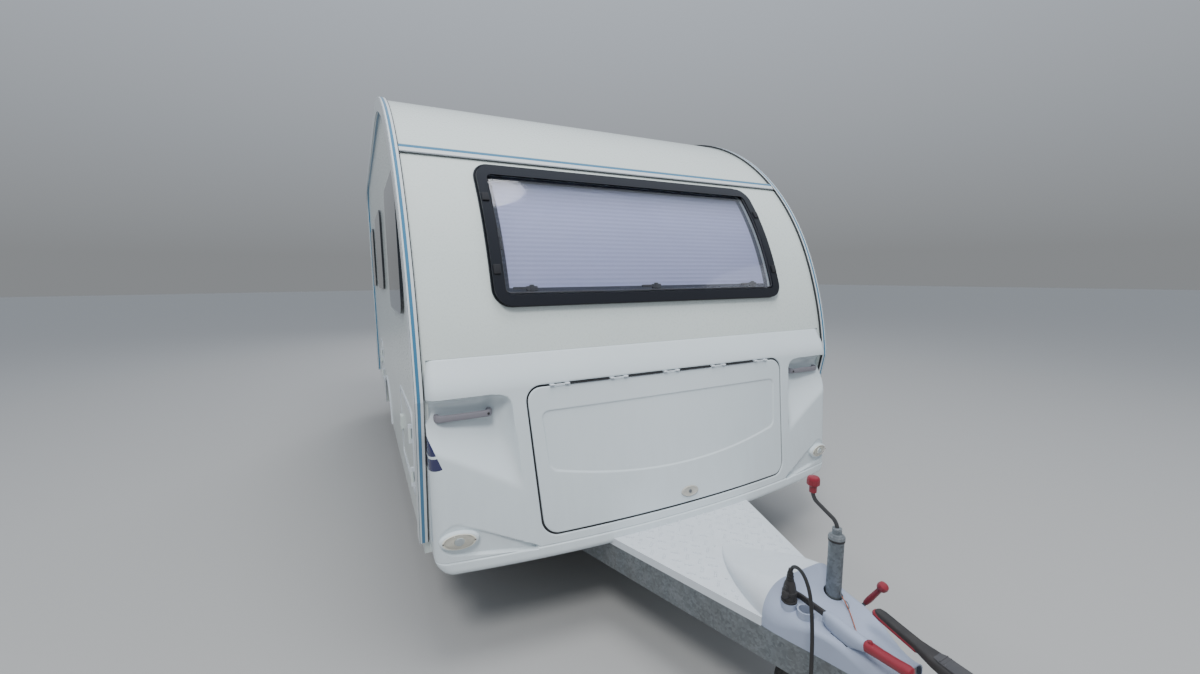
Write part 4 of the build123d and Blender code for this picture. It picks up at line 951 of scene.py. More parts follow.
leadCord = {
    "route": ((-0.094, -2.375, 0.272), (-0.094, -2.375, 0.240), (-0.094, -2.400, 0.150), (-0.123, -2.412, 0.120),
              (-0.165, -2.420, 0.120), (-0.194, -2.418, 0.150), (-0.194, -2.412, 0.260), (-0.188, -2.405, 0.345),
              (-0.179, -2.398, 0.420), (-0.168, -2.388, 0.490), (-0.157, -2.374, 0.553), (-0.144, -2.354, 0.608),
              (-0.130, -2.318, 0.640), (-0.114, -2.276, 0.636), (-0.108, -2.251, 0.612), (-0.108, -2.251, 0.580)),
    "diameter": 0.011, "length": 0.870,
}
breakawayCord = {
    "route": ((-0.051, -2.452, 0.503), (-0.030, -2.430, 0.488), (0.002, -2.401, 0.480), (0.032, -2.368, 0.482),
              (0.056, -2.336, 0.488), (0.066, -2.306, 0.500)),
    "diameter": 0.003, "length": 0.196,
}


def addCord(name, s, finish):
    data = bpy.data.curves.new(name, "CURVE")
    data.dimensions = "3D"
    data.bevel_depth = s["diameter"] / 2
    data.bevel_resolution = 5
    data.resolution_u = 14
    data.use_fill_caps = True
    spline = data.splines.new("NURBS")
    spline.points.add(len(s["route"]) - 1)
    for point, place in zip(spline.points, s["route"]):
        point.co = (*place, 1)
    spline.order_u = 3
    spline.use_endpoint_u = True
    cord = bpy.data.objects.new(name, data)
    bpy.context.scene.collection.objects.link(cord)
    data.materials.append(finishes[finish])
    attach(cord, "root")
    return cord


# The plug, parked upright: a ribbed grip, a collar, a hinged side cap and a tapered boot
plugSizes = {
    "middle": (-0.108, -2.251, 0.0),
    "grip": ((0, 0.455), (0.0195, 0.455), (0.0205, 0.457), (0.0205, 0.500), (0.0245, 0.501), (0.0250, 0.503),
             (0.0250, 0.507), (0.0215, 0.5085), (0.0215, 0.526), (0.0228, 0.528), (0.0228, 0.536), (0.0208, 0.538),
             (0.0190, 0.552), (0.0160, 0.564), (0.0135, 0.569), (0.0128, 0.572), (0, 0.572)),
    "boot": ((0, 0.571), (0.0118, 0.571), (0.0118, 0.577), (0.0098, 0.579), (0.0098, 0.582), (0.0110, 0.583),
             (0.0110, 0.587), (0.0088, 0.589), (0.0088, 0.592), (0.0098, 0.593), (0.0098, 0.597), (0.0078, 0.599),
             (0.0068, 0.606), (0.0060, 0.611), (0.0, 0.611)),
    "ribs": 16, "ribOut": 0.0212, "ribHigh": (0.510, 0.5255), "ribRadius": 0.0016,
    "cap": ((0, 0), (0.0105, 0), (0.0120, 0.0015), (0.0120, 0.010), (0.0100, 0.013), (0, 0.0135)),
    "capAt": (-0.0190, -0.006, 0.534), "capWay": (-1, 0, 0.12),
    "arm": ((-0.0245, -0.011, 0.530), (-0.0195, -0.001, 0.562)), "armEdge": 0.0015,
    "gland": ((0, 0.275), (0.0105, 0.275), (0.0115, 0.273), (0.0115, 0.262), (0.0090, 0.259), (0.0078, 0.240),
              (0.0062, 0.236), (0, 0.236)), "glandAt": (-0.094, -2.375, 0.0),
}


def addPlug(s):
    parts = [turnedPiece("plugGrip", s["grip"], s["middle"], upward, "black_plastic")]
    for out in roundPlaces(s["ribs"], s["ribOut"]):
        rib = [shifted(s["middle"], (*out, high)) for high in s["ribHigh"]]
        parts.append(bentRod("plugRib", rib, s["ribRadius"], "black_plastic", around=1))
    parts.append(turnedPiece("plugCap", s["cap"], shifted(s["middle"], s["capAt"]), s["capWay"], "black_plastic", 28))
    low, high = (shifted(s["middle"], corner) for corner in s["arm"])
    parts.append(blockPiece("plugArm", low, high, s["armEdge"], "black_plastic"))
    return joinPieces("plug_body", parts)


plug = settle(addPlug(plugSizes), "root", "black_plastic", "lead_plug", angle=30)
boot = addTurned("plug_boot", "cable_black", "cable_black", plugSizes["boot"], plugSizes["middle"], upward, 32)
lead = addCord("lead_cord", leadCord, "cable_black")
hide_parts("lead_cable")
addTurned("lead_gland", "black_plastic", "black_plastic", plugSizes["gland"], plugSizes["glandAt"], upward, 24)

wire = addCord("breakaway_cord", breakawayCord, "cable_orange")
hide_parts("breakaway_cable")


# The breakaway cable's ends: a clip in a ring on the jockey tube, and an eye beside the handbrake lever
clipSizes = {
    "ring": (0.0095, 0.0014), "ringAt": (0.0635, -2.3105, 0.4985), "ringWay": (0.7, -0.6, 0.3),
    "hook": ((0.060, -2.330, 0.493), (0.052, -2.346, 0.494), (0.044, -2.354, 0.489), (0.045, -2.350, 0.483),
             (0.057, -2.334, 0.485), (0.063, -2.324, 0.490)), "hookRadius": 0.0016, "hookBend": 0.004,
    "eye": (0.0050, 0.0013), "eyeAt": (-0.0530, -2.4530, 0.5030), "eyeWay": (0.4, 0.3, 0.9),
}


def addClip(s):
    ring = turnedPiece("clipRing", ringProfile(*s["ring"]), s["ringAt"], s["ringWay"], "galvanised", 28)
    hook = bentRod("clipHook", s["hook"], s["hookRadius"], "galvanised", around=3, bend=s["hookBend"])
    return joinPieces("breakaway_clip", [ring, hook])


clip = settle(addClip(clipSizes), "root", "galvanised")
eye = addTurned("breakaway_eye", "galvanised", "galvanised", ringProfile(*clipSizes["eye"]), clipSizes["eyeAt"],
                clipSizes["eyeWay"], 24)
print("cords and plug laid")


# Handbrake lever: black bar, moulded sleeve, red grip with a nub

leverRows = {
    "x": -0.070,
    "bar": ((-2.236, 0.506), (-2.262, 0.510), (-2.372, 0.510), (-2.400, 0.508)), "barHalf": (0.0050, 0.0100),
    "sleeve": ((-2.352, 0.506, 0.0090, 0.0130), (-2.355, 0.506, 0.0125, 0.0160), (-2.372, 0.500, 0.0165, 0.0245),
               (-2.400, 0.494, 0.0180, 0.0290), (-2.440, 0.493, 0.0182, 0.0275), (-2.468, 0.500, 0.0178, 0.0200),
               (-2.488, 0.504, 0.0172, 0.0162)),
    "grip": ((-2.484, 0.504, 0.0120, 0.0110), (-2.486, 0.504, 0.0162, 0.0148), (-2.496, 0.505, 0.0168, 0.0152),
             (-2.530, 0.508, 0.0155, 0.0135), (-2.570, 0.512, 0.0158, 0.0135), (-2.600, 0.516, 0.0165, 0.0140),
             (-2.609, 0.517, 0.0140, 0.0118), (-2.613, 0.5175, 0.0070, 0.0060)),
    "stub": ((-2.396, 0.455), (-2.418, 0.480), (-2.434, 0.500)), "stubHalf": (0.0075, 0.0130),
    "pin": ((0, -0.018), (0.0085, -0.018), (0.009, -0.017), (0.009, 0.029), (0, 0.029)), "pinAt": (-2.394, 0.452),
    "nub": ((0, 0), (0.0062, 0), (0.0062, 0.006), (0.0050, 0.0085), (0, 0.0092)), "nubAt": (-2.498, 0.518),
    "nubWay": (0, 0.2, 1),
}


def addLever(s):
    x = s["x"]
    bar = sweptPiece("leverBar", sweepRows(x, s["bar"], 5, s["barHalf"]), "black_plastic", 20)
    stub = sweptPiece("leverStub", sweepRows(x, s["stub"], 4, s["stubHalf"]), "black_plastic", 20)
    pin = turnedPiece("leverPin", s["pin"], (x, *s["pinAt"]), (1, 0, 0), "galvanised", 24)
    settle(joinPieces("lever_bar", [bar, stub, pin]), "root", "black_plastic")
    settle(sweptPiece("lever_sleeve", sweepRows(x, s["sleeve"], 2.6), "blue_grey_plastic"), "root",
           "blue_grey_plastic")
    grip = sweptPiece("leverGrip", sweepRows(x, s["grip"], 2.5), "red_plastic")
    nub = turnedPiece("leverNub", s["nub"], (x, *s["nubAt"]), s["nubWay"], "red_plastic", 24)
    settle(joinPieces("lever_grip", [grip, nub]), "root", "red_plastic", "handbrake_lever")


addLever(leverRows)


# Stabiliser handle: a black body with a ribbed grey pad on top and a red tip

stabiliserRows = {
    "body": ((-2.852, 0.490, 0.018, 0.010), (-2.846, 0.491, 0.0230, 0.020), (-2.800, 0.503, 0.0260, 0.0220),
             (-2.740, 0.521, 0.0290, 0.0210), (-2.680, 0.533, 0.0290, 0.0180), (-2.630, 0.541, 0.0265, 0.0150),
             (-2.600, 0.546, 0.0205, 0.0130), (-2.580, 0.550, 0.0165, 0.0120), (-2.520, 0.562, 0.0155, 0.0110),
             (-2.484, 0.570, 0.0150, 0.0100), (-2.470, 0.573, 0.0120, 0.0075), (-2.465, 0.574, 0.0070, 0.0040)),
    "pad": ((-2.775, 0.5330, 0.0180, 0.0030), (-2.768, 0.5365, 0.0215, 0.0048), (-2.700, 0.5500, 0.0225, 0.0048),
            (-2.640, 0.5545, 0.0205, 0.0045), (-2.628, 0.5545, 0.0160, 0.0028)),
    "tip": ((-2.592, 0.5385, 0.0110, 0.0040), (-2.584, 0.5400, 0.0172, 0.0070), (-2.520, 0.5535, 0.0165, 0.0072),
            (-2.482, 0.5620, 0.0162, 0.0085), (-2.463, 0.5665, 0.0135, 0.0080), (-2.458, 0.5675, 0.0080, 0.0050)),
    "ribs": 15, "ribHalf": 0.0185, "ribRise": 0.0046, "ribRadius": 0.0016,
    "disc": ((0, 0), (0.017, 0), (0.019, 0.002), (0.019, 0.007), (0.016, 0.010), (0.009, 0.011), (0.008, 0.009),
             (0, 0.009)), "discAt": (0.055, -2.894, 0.430),
}


def addStabiliser(s):
    settle(sweptPiece("stabiliser_body", sweepRows(0, s["body"], 3.4), "black_plastic", 36), "root", "black_plastic",
           "stabiliser_handle")
    parts = [sweptPiece("pad", sweepRows(0, s["pad"], 4), "dark_plastic", 24)]
    (y0, z0), (y1, z1) = s["pad"][1][:2], s["pad"][3][:2]
    for number in range(s["ribs"]):
        t = (number + 0.5) / s["ribs"]
        y, z = y0 + (y1 - y0) * t, z0 + (z1 - z0) * t + s["ribRise"]
        parts.append(bentRod("rib", [(-s["ribHalf"], y, z), (s["ribHalf"], y, z)], s["ribRadius"], "dark_plastic",
                             around=2))
    settle(joinPieces("stabiliser_pad", parts), "root", "black_plastic")
    settle(sweptPiece("stabiliser_tip", sweepRows(0, s["tip"], 3), "red_plastic"), "root", "red_plastic")
    addTurned("wear_disc", "galvanised", "galvanised", s["disc"], s["discAt"], (1, 0, 0), 32)


addStabiliser(stabiliserRows)


# Jockey wheel: collar and ring on the tube, crank, crimson knob, clamp with its crimson handle

jockeySizes = {
    "axis": (0.070, -2.278),
    "collar": ((0.0240, 0.6790), (0.0255, 0.6792), (0.0262, 0.6800), (0.0262, 0.6870), (0.0250, 0.6895),
               (0.0205, 0.6905), (0.0, 0.6905)),
    "ring": ((0.0240, 0.6720), (0.0258, 0.6722), (0.0262, 0.6735), (0.0262, 0.6775), (0.0256, 0.6788),
             (0.0240, 0.6790)),
    "neck": ((0.0195, 0.6900), (0.0195, 0.6925), (0.0150, 0.6965), (0.0135, 0.7080), (0.0150, 0.7100),
             (0.0150, 0.7150), (0.0115, 0.7170), (0.0, 0.7170)),
    "crankTurn": 125, "crankReach": 0.078, "crankRadius": 0.0065, "crankBend": 0.020,
    "crankHigh": (0.690, 0.733, 0.803, 0.833),
    "knob": ((0, 0.822), (0.0105, 0.822), (0.0120, 0.8235), (0.0125, 0.842), (0.0130, 0.846), (0.0185, 0.848),
             (0.0200, 0.850), (0.0203, 0.866), (0.0195, 0.872), (0.0165, 0.8755), (0.0100, 0.877), (0, 0.8772)),
    "flutes": 10, "fluteOut": 0.0192, "fluteHigh": (0.851, 0.8665), "fluteRadius": 0.0022,
}


def addJockeyTop(s):
    foot = (*s["axis"], 0)
    addTurned("jockey_collar", "galvanised", "pale_zinc", s["collar"], foot, upward, 56)
    addTurned("jockey_ring", "black_plastic", "black_plastic", s["ring"], foot, upward, 56)
    addTurned("jockey_neck", "galvanised", "pale_zinc", s["neck"], foot, upward, 40)
    turn = radians(s["crankTurn"])
    ahead = Vector((cos(turn), sin(turn), 0)) * s["crankReach"]
    end = shifted(foot, ahead)
    rod = [(*place[:2], high) for place, high in zip((foot, foot, end, end), s["crankHigh"])]
    crank = bentRod("jockey_handle", rod, s["crankRadius"], "cast_grey", around=8, bend=s["crankBend"])
    settle(crank, "root", "cast_grey", "jockey_crank")
    parts = [turnedPiece("crankKnob", s["knob"], end, upward, "red_plastic", 40)]
    for out in roundPlaces(s["flutes"], s["fluteOut"]):
        flute = [shifted(end, (*out, high)) for high in s["fluteHigh"]]
        parts.append(bentRod("flute", flute, s["fluteRadius"], "red_plastic", around=2))
    settle(joinPieces("crank_knob", parts), "root", "red_plastic")


clampSizes = {
    "high": 0.365, "screwEnds": (0.06, 0.002), "screwRadius": 0.007, "barRadius": 0.0062, "handleX": 0.1786,
    "ball": (-2.374, 0.530),
    "body": (0.020, 0.030, 0.340, 0.147, 0.380), "bodyEdge": 0.004, "lugHigh": 0.361,
    "lug": ((0, -0.021), (0.031, -0.021), (0.033, -0.019), (0.033, 0.014), (0.031, 0.016), (0, 0.016)),
    "boss": ((0, -0.013), (0.011, -0.013), (0.012, -0.012), (0.012, 0.008), (0.010, 0.010), (0, 0.010)),
    "grip": ((0, -0.105), (0.0075, -0.105), (0.0085, -0.102), (0.0098, -0.080), (0.0090, -0.050), (0.0085, -0.020),
             (0.0100, -0.014), (0.0150, -0.009), (0.0168, 0.0), (0.0150, 0.009), (0.0080, 0.0150), (0, 0.0165)),
}


def addClamp(s):
    x, y = jockeySizes["axis"]
    near, aside, low, far, high = s["body"]
    body = blockPiece("clampBody", (x + near, y - aside, low), (far, y + aside, high), s["bodyEdge"], "cast_grey")
    lug = turnedPiece("clampLug", s["lug"], (x, y, s["lugHigh"]), upward, "cast_grey", 48)
    ends = [(corner[0] + past, y, s["high"]) for corner, past in zip(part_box("jockey_clamp"), s["screwEnds"])]
    screw = bentRod("clampScrew", ends, s["screwRadius"], "galvanised")
    start, ball = (s["handleX"], y, s["high"]), (s["handleX"], *s["ball"])
    boss = turnedPiece("clampBoss", s["boss"], start, (1, 0, 0), "galvanised", 32)
    bar = bentRod("clampBar", [start, ball], s["barRadius"], "galvanised")
    settle(joinPieces("clamp_iron", [body, lug, screw, boss, bar]), "root", "cast_grey", "jockey_clamp")
    way = Vector((0, ball[1] - y, ball[2] - s["high"])).normalized()
    addTurned("clamp_handle", "red_plastic", "red_plastic", s["grip"], ball, way, 36)


addJockeyTop(jockeySizes)
addClamp(clampSizes)
print("hitch pieces ready")


# Drawbar cover: grip pimples moulded in short rows, outside its bulge

pimpleSizes = {
    "deck": 0.431, "radius": 0.0062, "high": 0.0058, "stepX": 0.052, "stepY": 0.046, "apart": 0.0125, "lean": 45,
    "front": -2.180, "rear": -1.590, "slope": 0.317, "edgeY": -2.750, "margin": 0.022, "sunk": 0.0003, "cut": 0.0011,
    "bulge": ((-1.800, 0.0), (-1.825, 0.020), (-1.960, 0.112), (-2.080, 0.156), (-2.200, 0.178)), "bulgeGap": 0.012,
}


def bulgeHalf(y, rows):
    for (y0, a), (y1, b) in zip(rows, rows[1:]):
        if y1 <= y <= y0:
            return a + (b - a) * (y - y0) / (y1 - y0)
    return 0.0


def addPimples(s):
    work = bmesh.new()
    shape = Matrix.Diagonal((s["radius"], s["radius"], s["high"], 1))
    row, y = 0, s["rear"]
    while y > s["front"]:
        half = s["slope"] * (y - s["edgeY"]) - s["margin"]
        count = int(half / s["stepX"]) + 1
        for number in range(-count, count + 1):
            x = (number + 0.5 * (row % 2)) * s["stepX"]
            lean = radians(s["lean"] if (row + number) % 2 else -s["lean"])
            for along in (-1, 0, 1):
                px, py = x + along * s["apart"] * cos(lean), y + along * s["apart"] * sin(lean)
                if bulgeHalf(py, s["bulge"]) + s["bulgeGap"] <= abs(px) <= half:
                    place = Matrix.Translation((px, py, s["deck"] - s["sunk"])) @ shape
                    bmesh.ops.create_icosphere(work, subdivisions=2, radius=1, matrix=place)
        y -= s["stepY"]
        row += 1
    low = [v for v in work.verts if v.co.z < s["deck"] - s["cut"]]
    bmesh.ops.delete(work, geom=low, context="VERTS")
    bmesh.ops.holes_fill(work, edges=borderEdges(work), sides=0)
    settle(linkMesh("cover_pimples", work, "pale_plastic"), "root", "pale_plastic", angle=50)


addPimples(pimpleSizes)


# Where the front wall stands, and how far it leans back, at a height

wallArcs = {"lower": (0.5453, 0.8965, 1.950), "upper": (0.0877, 1.0851, 1.455), "meet": 1.6396}


def wallPlace(z):
    y, middle, radius = wallArcs["lower" if z < wallArcs["meet"] else "upper"]
    lean = (z - middle) / radius
    return y - radius * sqrt(1 - lean * lean), atan2(lean, sqrt(1 - lean * lean))


# Front window: catches behind the pane and hinge clips on the frame

windowFittings = {
    "catches": (-0.625, -0.001, 0.616), "catchHigh": 1.487, "sideCatch": (-0.731, 1.690),
    "catchBlocks": (  # offset, size, how far ahead of the wall, edge
        ((0, 0), (0.049, 0.022, 0.009), 0.003, 0.002), ((0, 0.002), (0.020, 0.030, 0.009), 0.004, 0.003),
        ((-0.050, 0.003), (0.062, 0.010, 0.007), 0.003, 0.0015)),
    "sideBlocks": (((-0.010, 0.030), (0.024, 0.046, 0.009), 0.003, 0.002),
                   ((0, -0.012), (0.011, 0.066, 0.007), 0.003, 0.0015)),
    "clips": (1.862, 1.560), "clipX": 0.770, "clipBlocks": (((0, 0), (0.030, 0.042, 0.010), 0.028, 0.003),),
}


def wallBlocks(x, z, rows):
    pieces = []
    for (aside, up), (wide, high, thick), ahead, edge in rows:
        half = (wide / 2, thick / 2, high / 2)
        piece = blockPiece("wallBlock", [-size for size in half], half, edge, "black_plastic")
        y, lean = wallPlace(z + up)
        place = Matrix.Translation((x + aside, y - ahead * cos(lean), z + up + ahead * sin(lean)))
        piece.data.transform(place @ Matrix.Rotation(-lean, 4, "X"))
        pieces.append(piece)
    return pieces


def addWindowFittings(s):
    parts = [part for x in s["catches"] for part in wallBlocks(x, s["catchHigh"], s["catchBlocks"])]
    settle(joinPieces("window_catches", parts + wallBlocks(*s["sideCatch"], s["sideBlocks"])), "root", "window_black")
    parts = [part for side in (-1, 1) for z in s["clips"]
             for part in wallBlocks(side * s["clipX"], z, s["clipBlocks"])]
    settle(joinPieces("window_clips", parts), "root", "window_black")


# A soft rubber ring on the wall: half width, low, high, corner, how far ahead of the wall, radius
wallRings = {"window_lip": ((0.7925, 1.4185, 2.0365, 0.0725, 0.003, 0.005), "window_black"),
             "pane_seal": ((0.7435, 1.4675, 1.9875, 0.024, 0.0155, 0.0035), "dark_plastic")}
ringStep = 0.03             # the longest straight piece of a ring


def wallRing(name, sizes, finish):
    half, low, high, corner, ahead, radius = sizes
    points = []
    for cx, cz, start in ((half - corner, high - corner, 0), (-half + corner, high - corner, 90),
                          (-half + corner, low + corner, 180), (half - corner, low + corner, 270)):
        for step in range(0, 91, 10):
            turn = radians(start + step)
            points.append((cx + corner * cos(turn), cz + corner * sin(turn)))
    outline = []
    for (x0, z0), (x1, z1) in zip(points, points[1:] + points[:1]):
        count = max(1, int(hypot(x1 - x0, z1 - z0) / ringStep))
        outline += [(x0 + (x1 - x0) * i / count, z0 + (z1 - z0) * i / count) for i in range(count)]
    loops = []
    for turn in range(0, 360, 45):
        out, up = radius * cos(radians(turn)), radius * sin(radians(turn))
        loop = []
        for number, (x, z) in enumerate(outline):
            px, pz = outline[number - 1]
            nx, nz = outline[(number + 1) % len(outline)]
            away = Vector((nz - pz, px - nx)).normalized()
            y, lean = wallPlace(z + away.y * out)
            loop.append((x + away.x * out, y - (ahead + up) * cos(lean), z + away.y * out + (ahead + up) * sin(lean)))
        loops.append(loop)
    settle(tubePiece(name, loops, finish), "root", "window_black", angle=60)


addWindowFittings(windowFittings)
for name, (sizes, finish) in wallRings.items():
    wallRing(name, sizes, finish)
print("window fittings ready")


# Grab handles: flattened bars with broad feet and a screw in the inner one

handleSizes = {
    "feet": (0.840, 1.043), "floor": -1.3695, "out": -1.404, "high": 1.005, "bend": 0.022,
    "halfHigh": 0.0135, "halfDeep": 0.0090, "footHigh": 0.0170, "footDeep": 0.0125, "footRise": 0.006,
    "footSlim": 0.001, "swell": (0.003, 0.002), "shares": (0.2, 0.4, 0.6, 0.8), "square": 2.6,
    "screw": ((0, 0.0010), (0.0045, 0.0010), (0.0050, 0.0004), (0.0050, -0.003), (0, -0.003)),
    "screwAside": 0.010, "screwDeep": 0.0004,
}


# One end of a handle, from its foot on the floor of the recess round its bend
def handleEnd(foot, way, s):
    rows = [((foot, s["floor"]), s["footHigh"], s["footDeep"]),
            ((foot, s["floor"] - s["footRise"]), s["footHigh"] - s["footSlim"], s["footDeep"] - s["footSlim"])]
    for turn in range(0, 91, 15):
        t, grow = radians(turn), 1 - turn / 90
        rows.append(((foot + way * s["bend"] * (1 - cos(t)), s["out"] + s["bend"] * (1 - sin(t))),
                     s["halfHigh"] + s["swell"][0] * grow, s["halfDeep"] + s["swell"][1] * grow))
    return rows


def addHandle(side, s):
    a, b = s["feet"]
    rows = handleEnd(a, 1, s)
    for share in s["shares"]:
        rows.append(((a + s["bend"] + (b - a - 2 * s["bend"]) * share, s["out"]), s["halfHigh"], s["halfDeep"]))
    rows += reversed(handleEnd(b, -1, s))
    bar = sweptPiece("handleBar", [((side * x, y, s["high"]), h, d, s["square"]) for (x, y), h, d in rows],
                     "grey_plastic", 32, across=upward)
    spot = (side * (a + s["screwAside"]), s["out"] - s["halfDeep"] + s["screwDeep"], s["high"])
    return [bar, turnedPiece("handleScrew", s["screw"], spot, (0, -1, 0), "black_plastic", 20)]


settle(joinPieces("grab_bars", addHandle(-1, handleSizes) + addHandle(1, handleSizes)), "root", "grey_plastic",
       "grab_handles")


# Marker lamps: a white bezel with two screws, a ring, a reflector and a clear lens

lampSizes = {
    "at": (0.994, 0.546), "yaw": 8.0, "floorLead": 0.0740, "screwOut": 0.0590, "screwLead": 0.0205,
    "ovals": (  # name, finish, ratio, steps, profile
        ("bezel", "moulding_white", 0.49, 80, (
            (0.0, -0.016), (0.0720, -0.016), (0.0750, 0.0), (0.0755, 0.0040), (0.0735, 0.0120), (0.0690, 0.0165),
            (0.0640, 0.0180), (0.0620, 0.0178), (0.0, 0.0174))),
        ("ring", "lamp_lens", 0.49, 80, (
            (0.0, 0.0150), (0.0620, 0.0150), (0.0628, 0.0182), (0.0618, 0.0202), (0.0590, 0.0210),
            (0.0562, 0.0202), (0.0552, 0.0185), (0.0, 0.0180))),
        ("bowl", "moulding_white", 0.8, 48, (
            (0.0, 0.0185), (0.0190, 0.0185), (0.0180, 0.0225), (0.0090, 0.0240), (0.0, 0.0243)))),
    "lens": ("lens", "lamp_glass", 0.49, 72, (
        (0.0555, 0.0170), (0.0555, 0.0200), (0.0500, 0.0232), (0.0390, 0.0252), (0.0230, 0.0264), (0.0, 0.0268),
        (0.0, 0.0253), (0.0225, 0.0249), (0.0380, 0.0238), (0.0485, 0.0218), (0.0538, 0.0192), (0.0538, 0.0170),
        (0.0555, 0.0170))),
    "screw": ((0, 0.0012), (0.0026, 0.0010), (0.0030, 0.0), (0.0030, -0.002), (0, -0.002)),
}


def addMarkerLamps(s):
    x, z = s["at"]
    bezels, lenses = [], []
    for side in (-1, 1):
        yaw = radians(s["yaw"]) * side
        place = (side * x, bodyFront - s["floorLead"], z)
        right, normal = (cos(yaw), sin(yaw), 0), (sin(yaw), -cos(yaw), 0)
        ovals = [ovalPiece(name, profile, ratio, place, right, normal, finish, steps)
                 for name, finish, ratio, steps, profile in (*s["ovals"], s["lens"])]
        lenses.append(ovals.pop())
        bezels += ovals
        for end in (-1, 1):
            spot = Vector(place) + Vector(right) * end * s["screwOut"] + Vector(normal) * s["screwLead"]
            bezels.append(turnedPiece("lampScrew", s["screw"], spot, normal, "black_plastic", 20))
    settle(joinPieces("lamp_bezels", bezels), "root", "moulding_white", "marker_lamps")
    settle(joinPieces("lamp_lenses", lenses), "root", "lamp_lens")


addMarkerLamps(lampSizes)


# Lid lock and the lid's black hinge line

lockSizes = {
    "at": (0.034, 0.548), "ratio": 0.50,
    "plate": ((0.0, -0.004), (0.0465, -0.004), (0.0480, 0.0015), (0.0465, 0.0048), (0.0420, 0.0068), (0.0370, 0.0066),
              (0.0345, 0.0050), (0.0, 0.0046)),
    "barrel": ((0.0, 0.0), (0.0085, 0.0), (0.0085, 0.0062), (0.0075, 0.0072), (0.0, 0.0072)),
    "keyHalf": (0.0008, 0.0045, 0.001), "keyEdge": 0.0003, "keyLead": 0.0070,
}
hingeLine = {"y": -1.4455, "z": 1.0975, "radius": 0.0034, "step": 0.280, "count": 4, "half": 0.092}


def addLidFittings(s, h):
    x, z = s["at"]
    tiny = 0.001
    slope = (plainLead(x, z - tiny, moulding) - plainLead(x, z + tiny, moulding)) / (2 * tiny)
    normal = Vector((0, -1, slope)).normalized()
    place = (x, bodyFront - plainLead(x, z, moulding), z)
    parts = [ovalPiece("lockPlate", s["plate"], s["ratio"], place, (1, 0, 0), normal, "lock_cream"),
             turnedPiece("lockBarrel", s["barrel"], place, normal, "pale_zinc", 32)]
    keyway = blockPiece("keyway", [-half for half in s["keyHalf"]], s["keyHalf"], s["keyEdge"], "black_plastic", 1)
    turn = Vector(upward).rotation_difference(normal).to_matrix().to_4x4()
    keyway.data.transform(Matrix.Translation(Vector(place) + normal * s["keyLead"]) @ turn)
    settle(joinPieces("lid_lock", parts + [keyway]), "locker_lid", "pale_plastic")
    knuckles = []
    for number in range(h["count"]):
        x = (number - (h["count"] - 1) / 2) * h["step"]
        line = [(x - h["half"], h["y"], h["z"]), (x + h["half"], h["y"], h["z"])]
        knuckles.append(bentRod("knuckle", line, h["radius"], "black_plastic", around=4))
    settle(joinPieces("lid_knuckles", knuckles), "locker_lid", "black_plastic")


addLidFittings(lockSizes, hingeLine)
print("front fittings ready")


# Road wheels: tyre with grooves and tread blocks, bolts and a hub cap on the CAD rim

wheelSizes = {
    "middle": (0.950, 1.095, 0.307), "tyreRadius": 0.3068, "blocks": 60, "grooveDeep": 0.0075,
    "profile": ((0.1830, -0.0780), (0.1860, -0.0830), (0.1950, -0.0865), (0.2200, -0.0915), (0.2480, -0.0920),
                (0.2700, -0.0890), (0.2860, -0.0820), (0.2940, -0.0760)),
    "rows": ((-0.0745, -0.0500), (-0.0420, -0.0175), (-0.0095, 0.0095), (0.0175, 0.0420), (0.0500, 0.0745)),
    "crown": ((-0.0008, -0.0742), (0, -0.0600), (0.0004, 0.0)), "blockRoot": 0.003, "blockTop": (0.0012, 0.90),
    "blockShare": 0.80, "blockLean": (0.010, 0.010, 0, -0.010, -0.010), "shoulder": (0.060, 0.015, 0.0030),
    "faceIn": 0.041, "boltCircle": 0.056, "bolts": 5,
    "bolt": ((0, -0.003), (0.0125, -0.003), (0.0125, 0.0015), (0.0095, 0.0050), (0.0095, 0.0130), (0.0075, 0.0150),
             (0, 0.0152)),
    "cap": ((0, -0.004), (0.0320, -0.004), (0.0330, 0.0), (0.0330, 0.020), (0.0310, 0.0240), (0.0120, 0.0265),
            (0, 0.0270)),
    "valve": ((0.004, 0.150), (0.030, 0.158)), "valveRadius": 0.0038,
}


# Tread blocks stand proud of the tyre's carcass, each row turned a little from the next
def treadBlocks(side, tread, s):
    x, y, z = s["middle"]
    start, run, drop = s["shoulder"]
    half = pi / s["blocks"] * s["blockShare"]
    chamfer, narrow = s["blockTop"]
    heights = ((tread - s["blockRoot"], 1.0), (s["tyreRadius"] - chamfer, 1.0), (s["tyreRadius"], narrow))
    work = bmesh.new()
    for number in range(s["blocks"]):
        for row, ((low, high), lean) in enumerate(zip(s["rows"], s["blockLean"])):
            turn = 2 * pi * (number + 0.5 * (row % 2)) / s["blocks"]
            middle = (low + high) / 2
            rings = []
            for radius, slim in heights:
                ring = []
                for across, along in ((low, -1), (high, -1), (high, 1), (low, 1)):
                    aside = across - middle
                    angle = turn + along * half * slim + lean * aside / (high - low) * 4
                    reach = radius - (drop * softStep((abs(across) - start) / run) if radius > tread else 0.0)
                    ring.append((side * x + (middle + aside * slim), y + reach * cos(angle), z + reach * sin(angle)))
                rings.append(ring)
            corners = addPoints(work, rings)
            fillRows(work, corners, closed=True)
            work.faces.new(corners[2])
            work.faces.new(corners[0][::-1])
    bmesh.ops.recalc_face_normals(work, faces=work.faces)
    return linkMesh("blocks", work, "tyre_rubber")


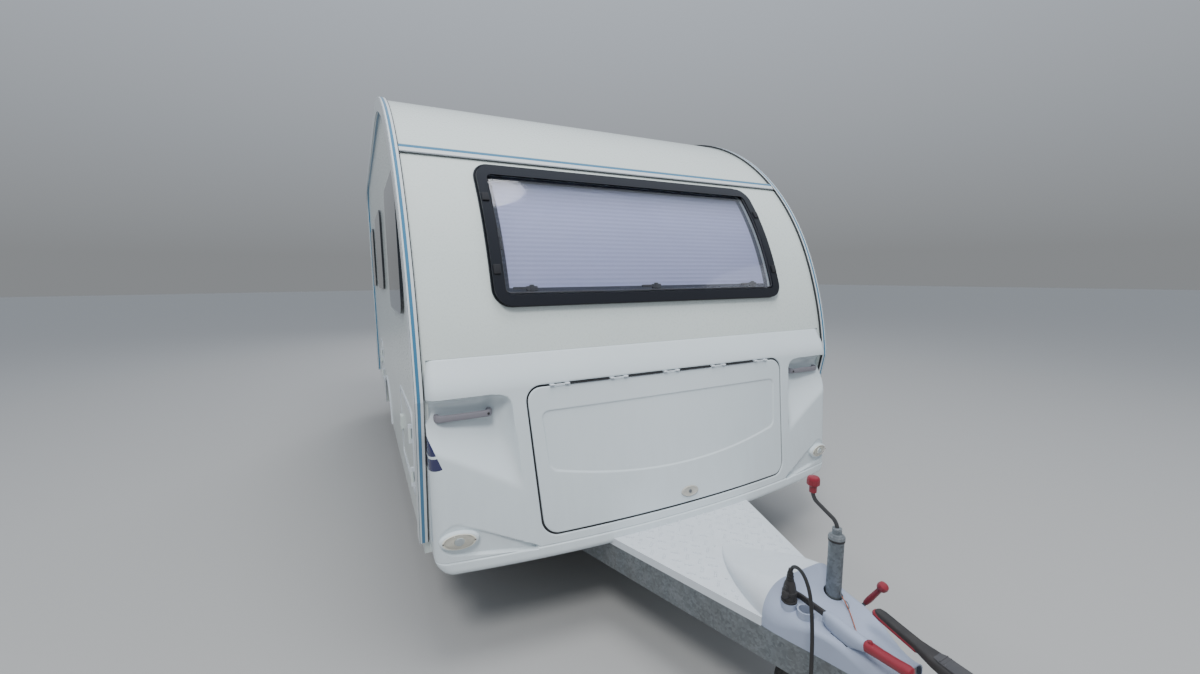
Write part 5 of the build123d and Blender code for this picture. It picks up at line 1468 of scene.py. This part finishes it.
def addWheel(side, name, s):
    x, y, z = s["middle"]
    tread = s["tyreRadius"] - s["grooveDeep"]
    profile = [*s["profile"], *((tread + proud, across) for proud, across in s["crown"])]
    profile += [(r, -h) for r, h in reversed(profile[:-1])]
    carcass = turnedPiece("carcass", profile + [profile[0]], (side * x, y, z), (1, 0, 0), "tyre_rubber", 96)
    settle(joinPieces("road_tyre_" + name, [carcass, treadBlocks(side, tread, s)]), "wheel_" + name, "tyre_rubber",
           "tyre_" + name, angle=30)
    low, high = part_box("rim_" + name)
    face = (high[0] if side > 0 else -low[0]) - s["faceIn"]
    parts = [turnedPiece("hubCap", s["cap"], (side * face, y, z), (side, 0, 0), "pale_zinc", 48)]
    for aside, up in roundPlaces(s["bolts"], s["boltCircle"], pi / 2):
        parts.append(turnedPiece("bolt", s["bolt"], (side * face, y + aside, z + up), (side, 0, 0), "pale_zinc", 6))
    valve = [(side * (face + ahead), y + aside, z) for ahead, aside in s["valve"]]
    parts.append(bentRod("valve", valve, s["valveRadius"], "black_plastic", around=3))
    settle(joinPieces("wheel_fixings_" + name, parts), "wheel_" + name, "galvanised")


for side, name in ((-1, "right"), (1, "left")):
    addWheel(side, name, wheelSizes)
print("wheels dressed")


# Rear: ribbed lenses in two colours, and a blank plate

rearSizes = {
    "x": (0.937, 1.059), "back": 2.942, "rib": 0.0105, "ribIn": 0.006, "ribLead": 0.0032, "ribRadius": 0.0014,
    "sunk": 0.006, "proud": 0.0035, "edge": 0.003,
    "bands": ((0.744, 0.850, "tail_lens"), (0.853, 0.925, "lamp_lens"), (0.928, 1.076, "tail_lens")),
    "plate": ((-0.260, 2.9372, 0.478), (0.260, 2.9420, 0.590)), "plateEdge": 0.0018,
}


def addTailLenses(side, name, s):
    a, b = sorted((side * s["x"][0], side * s["x"][1]))
    parts = []
    for low, high, finish in s["bands"]:
        parts.append(blockPiece("lensBody", (a, s["back"] - s["sunk"], low), (b, s["back"] + s["proud"], high),
                                s["edge"], finish))
        up = low + s["rib"]
        while up < high - s["ribIn"]:
            rib = [(x, s["back"] + s["ribLead"], up) for x in (a + s["ribIn"], b - s["ribIn"])]
            parts.append(bentRod("lensRib", rib, s["ribRadius"], finish, around=1))
            up += s["rib"]
    settle(joinPieces("tail_lenses_" + name, parts), "root", "tail_lens")


for side, name in ((-1, "right"), (1, "left")):
    addTailLenses(side, name, rearSizes)
settle(blockPiece("plate_blank", *rearSizes["plate"], rearSizes["plateEdge"], "pale_plastic"), "root", "pale_plastic")
print("rear dressed")
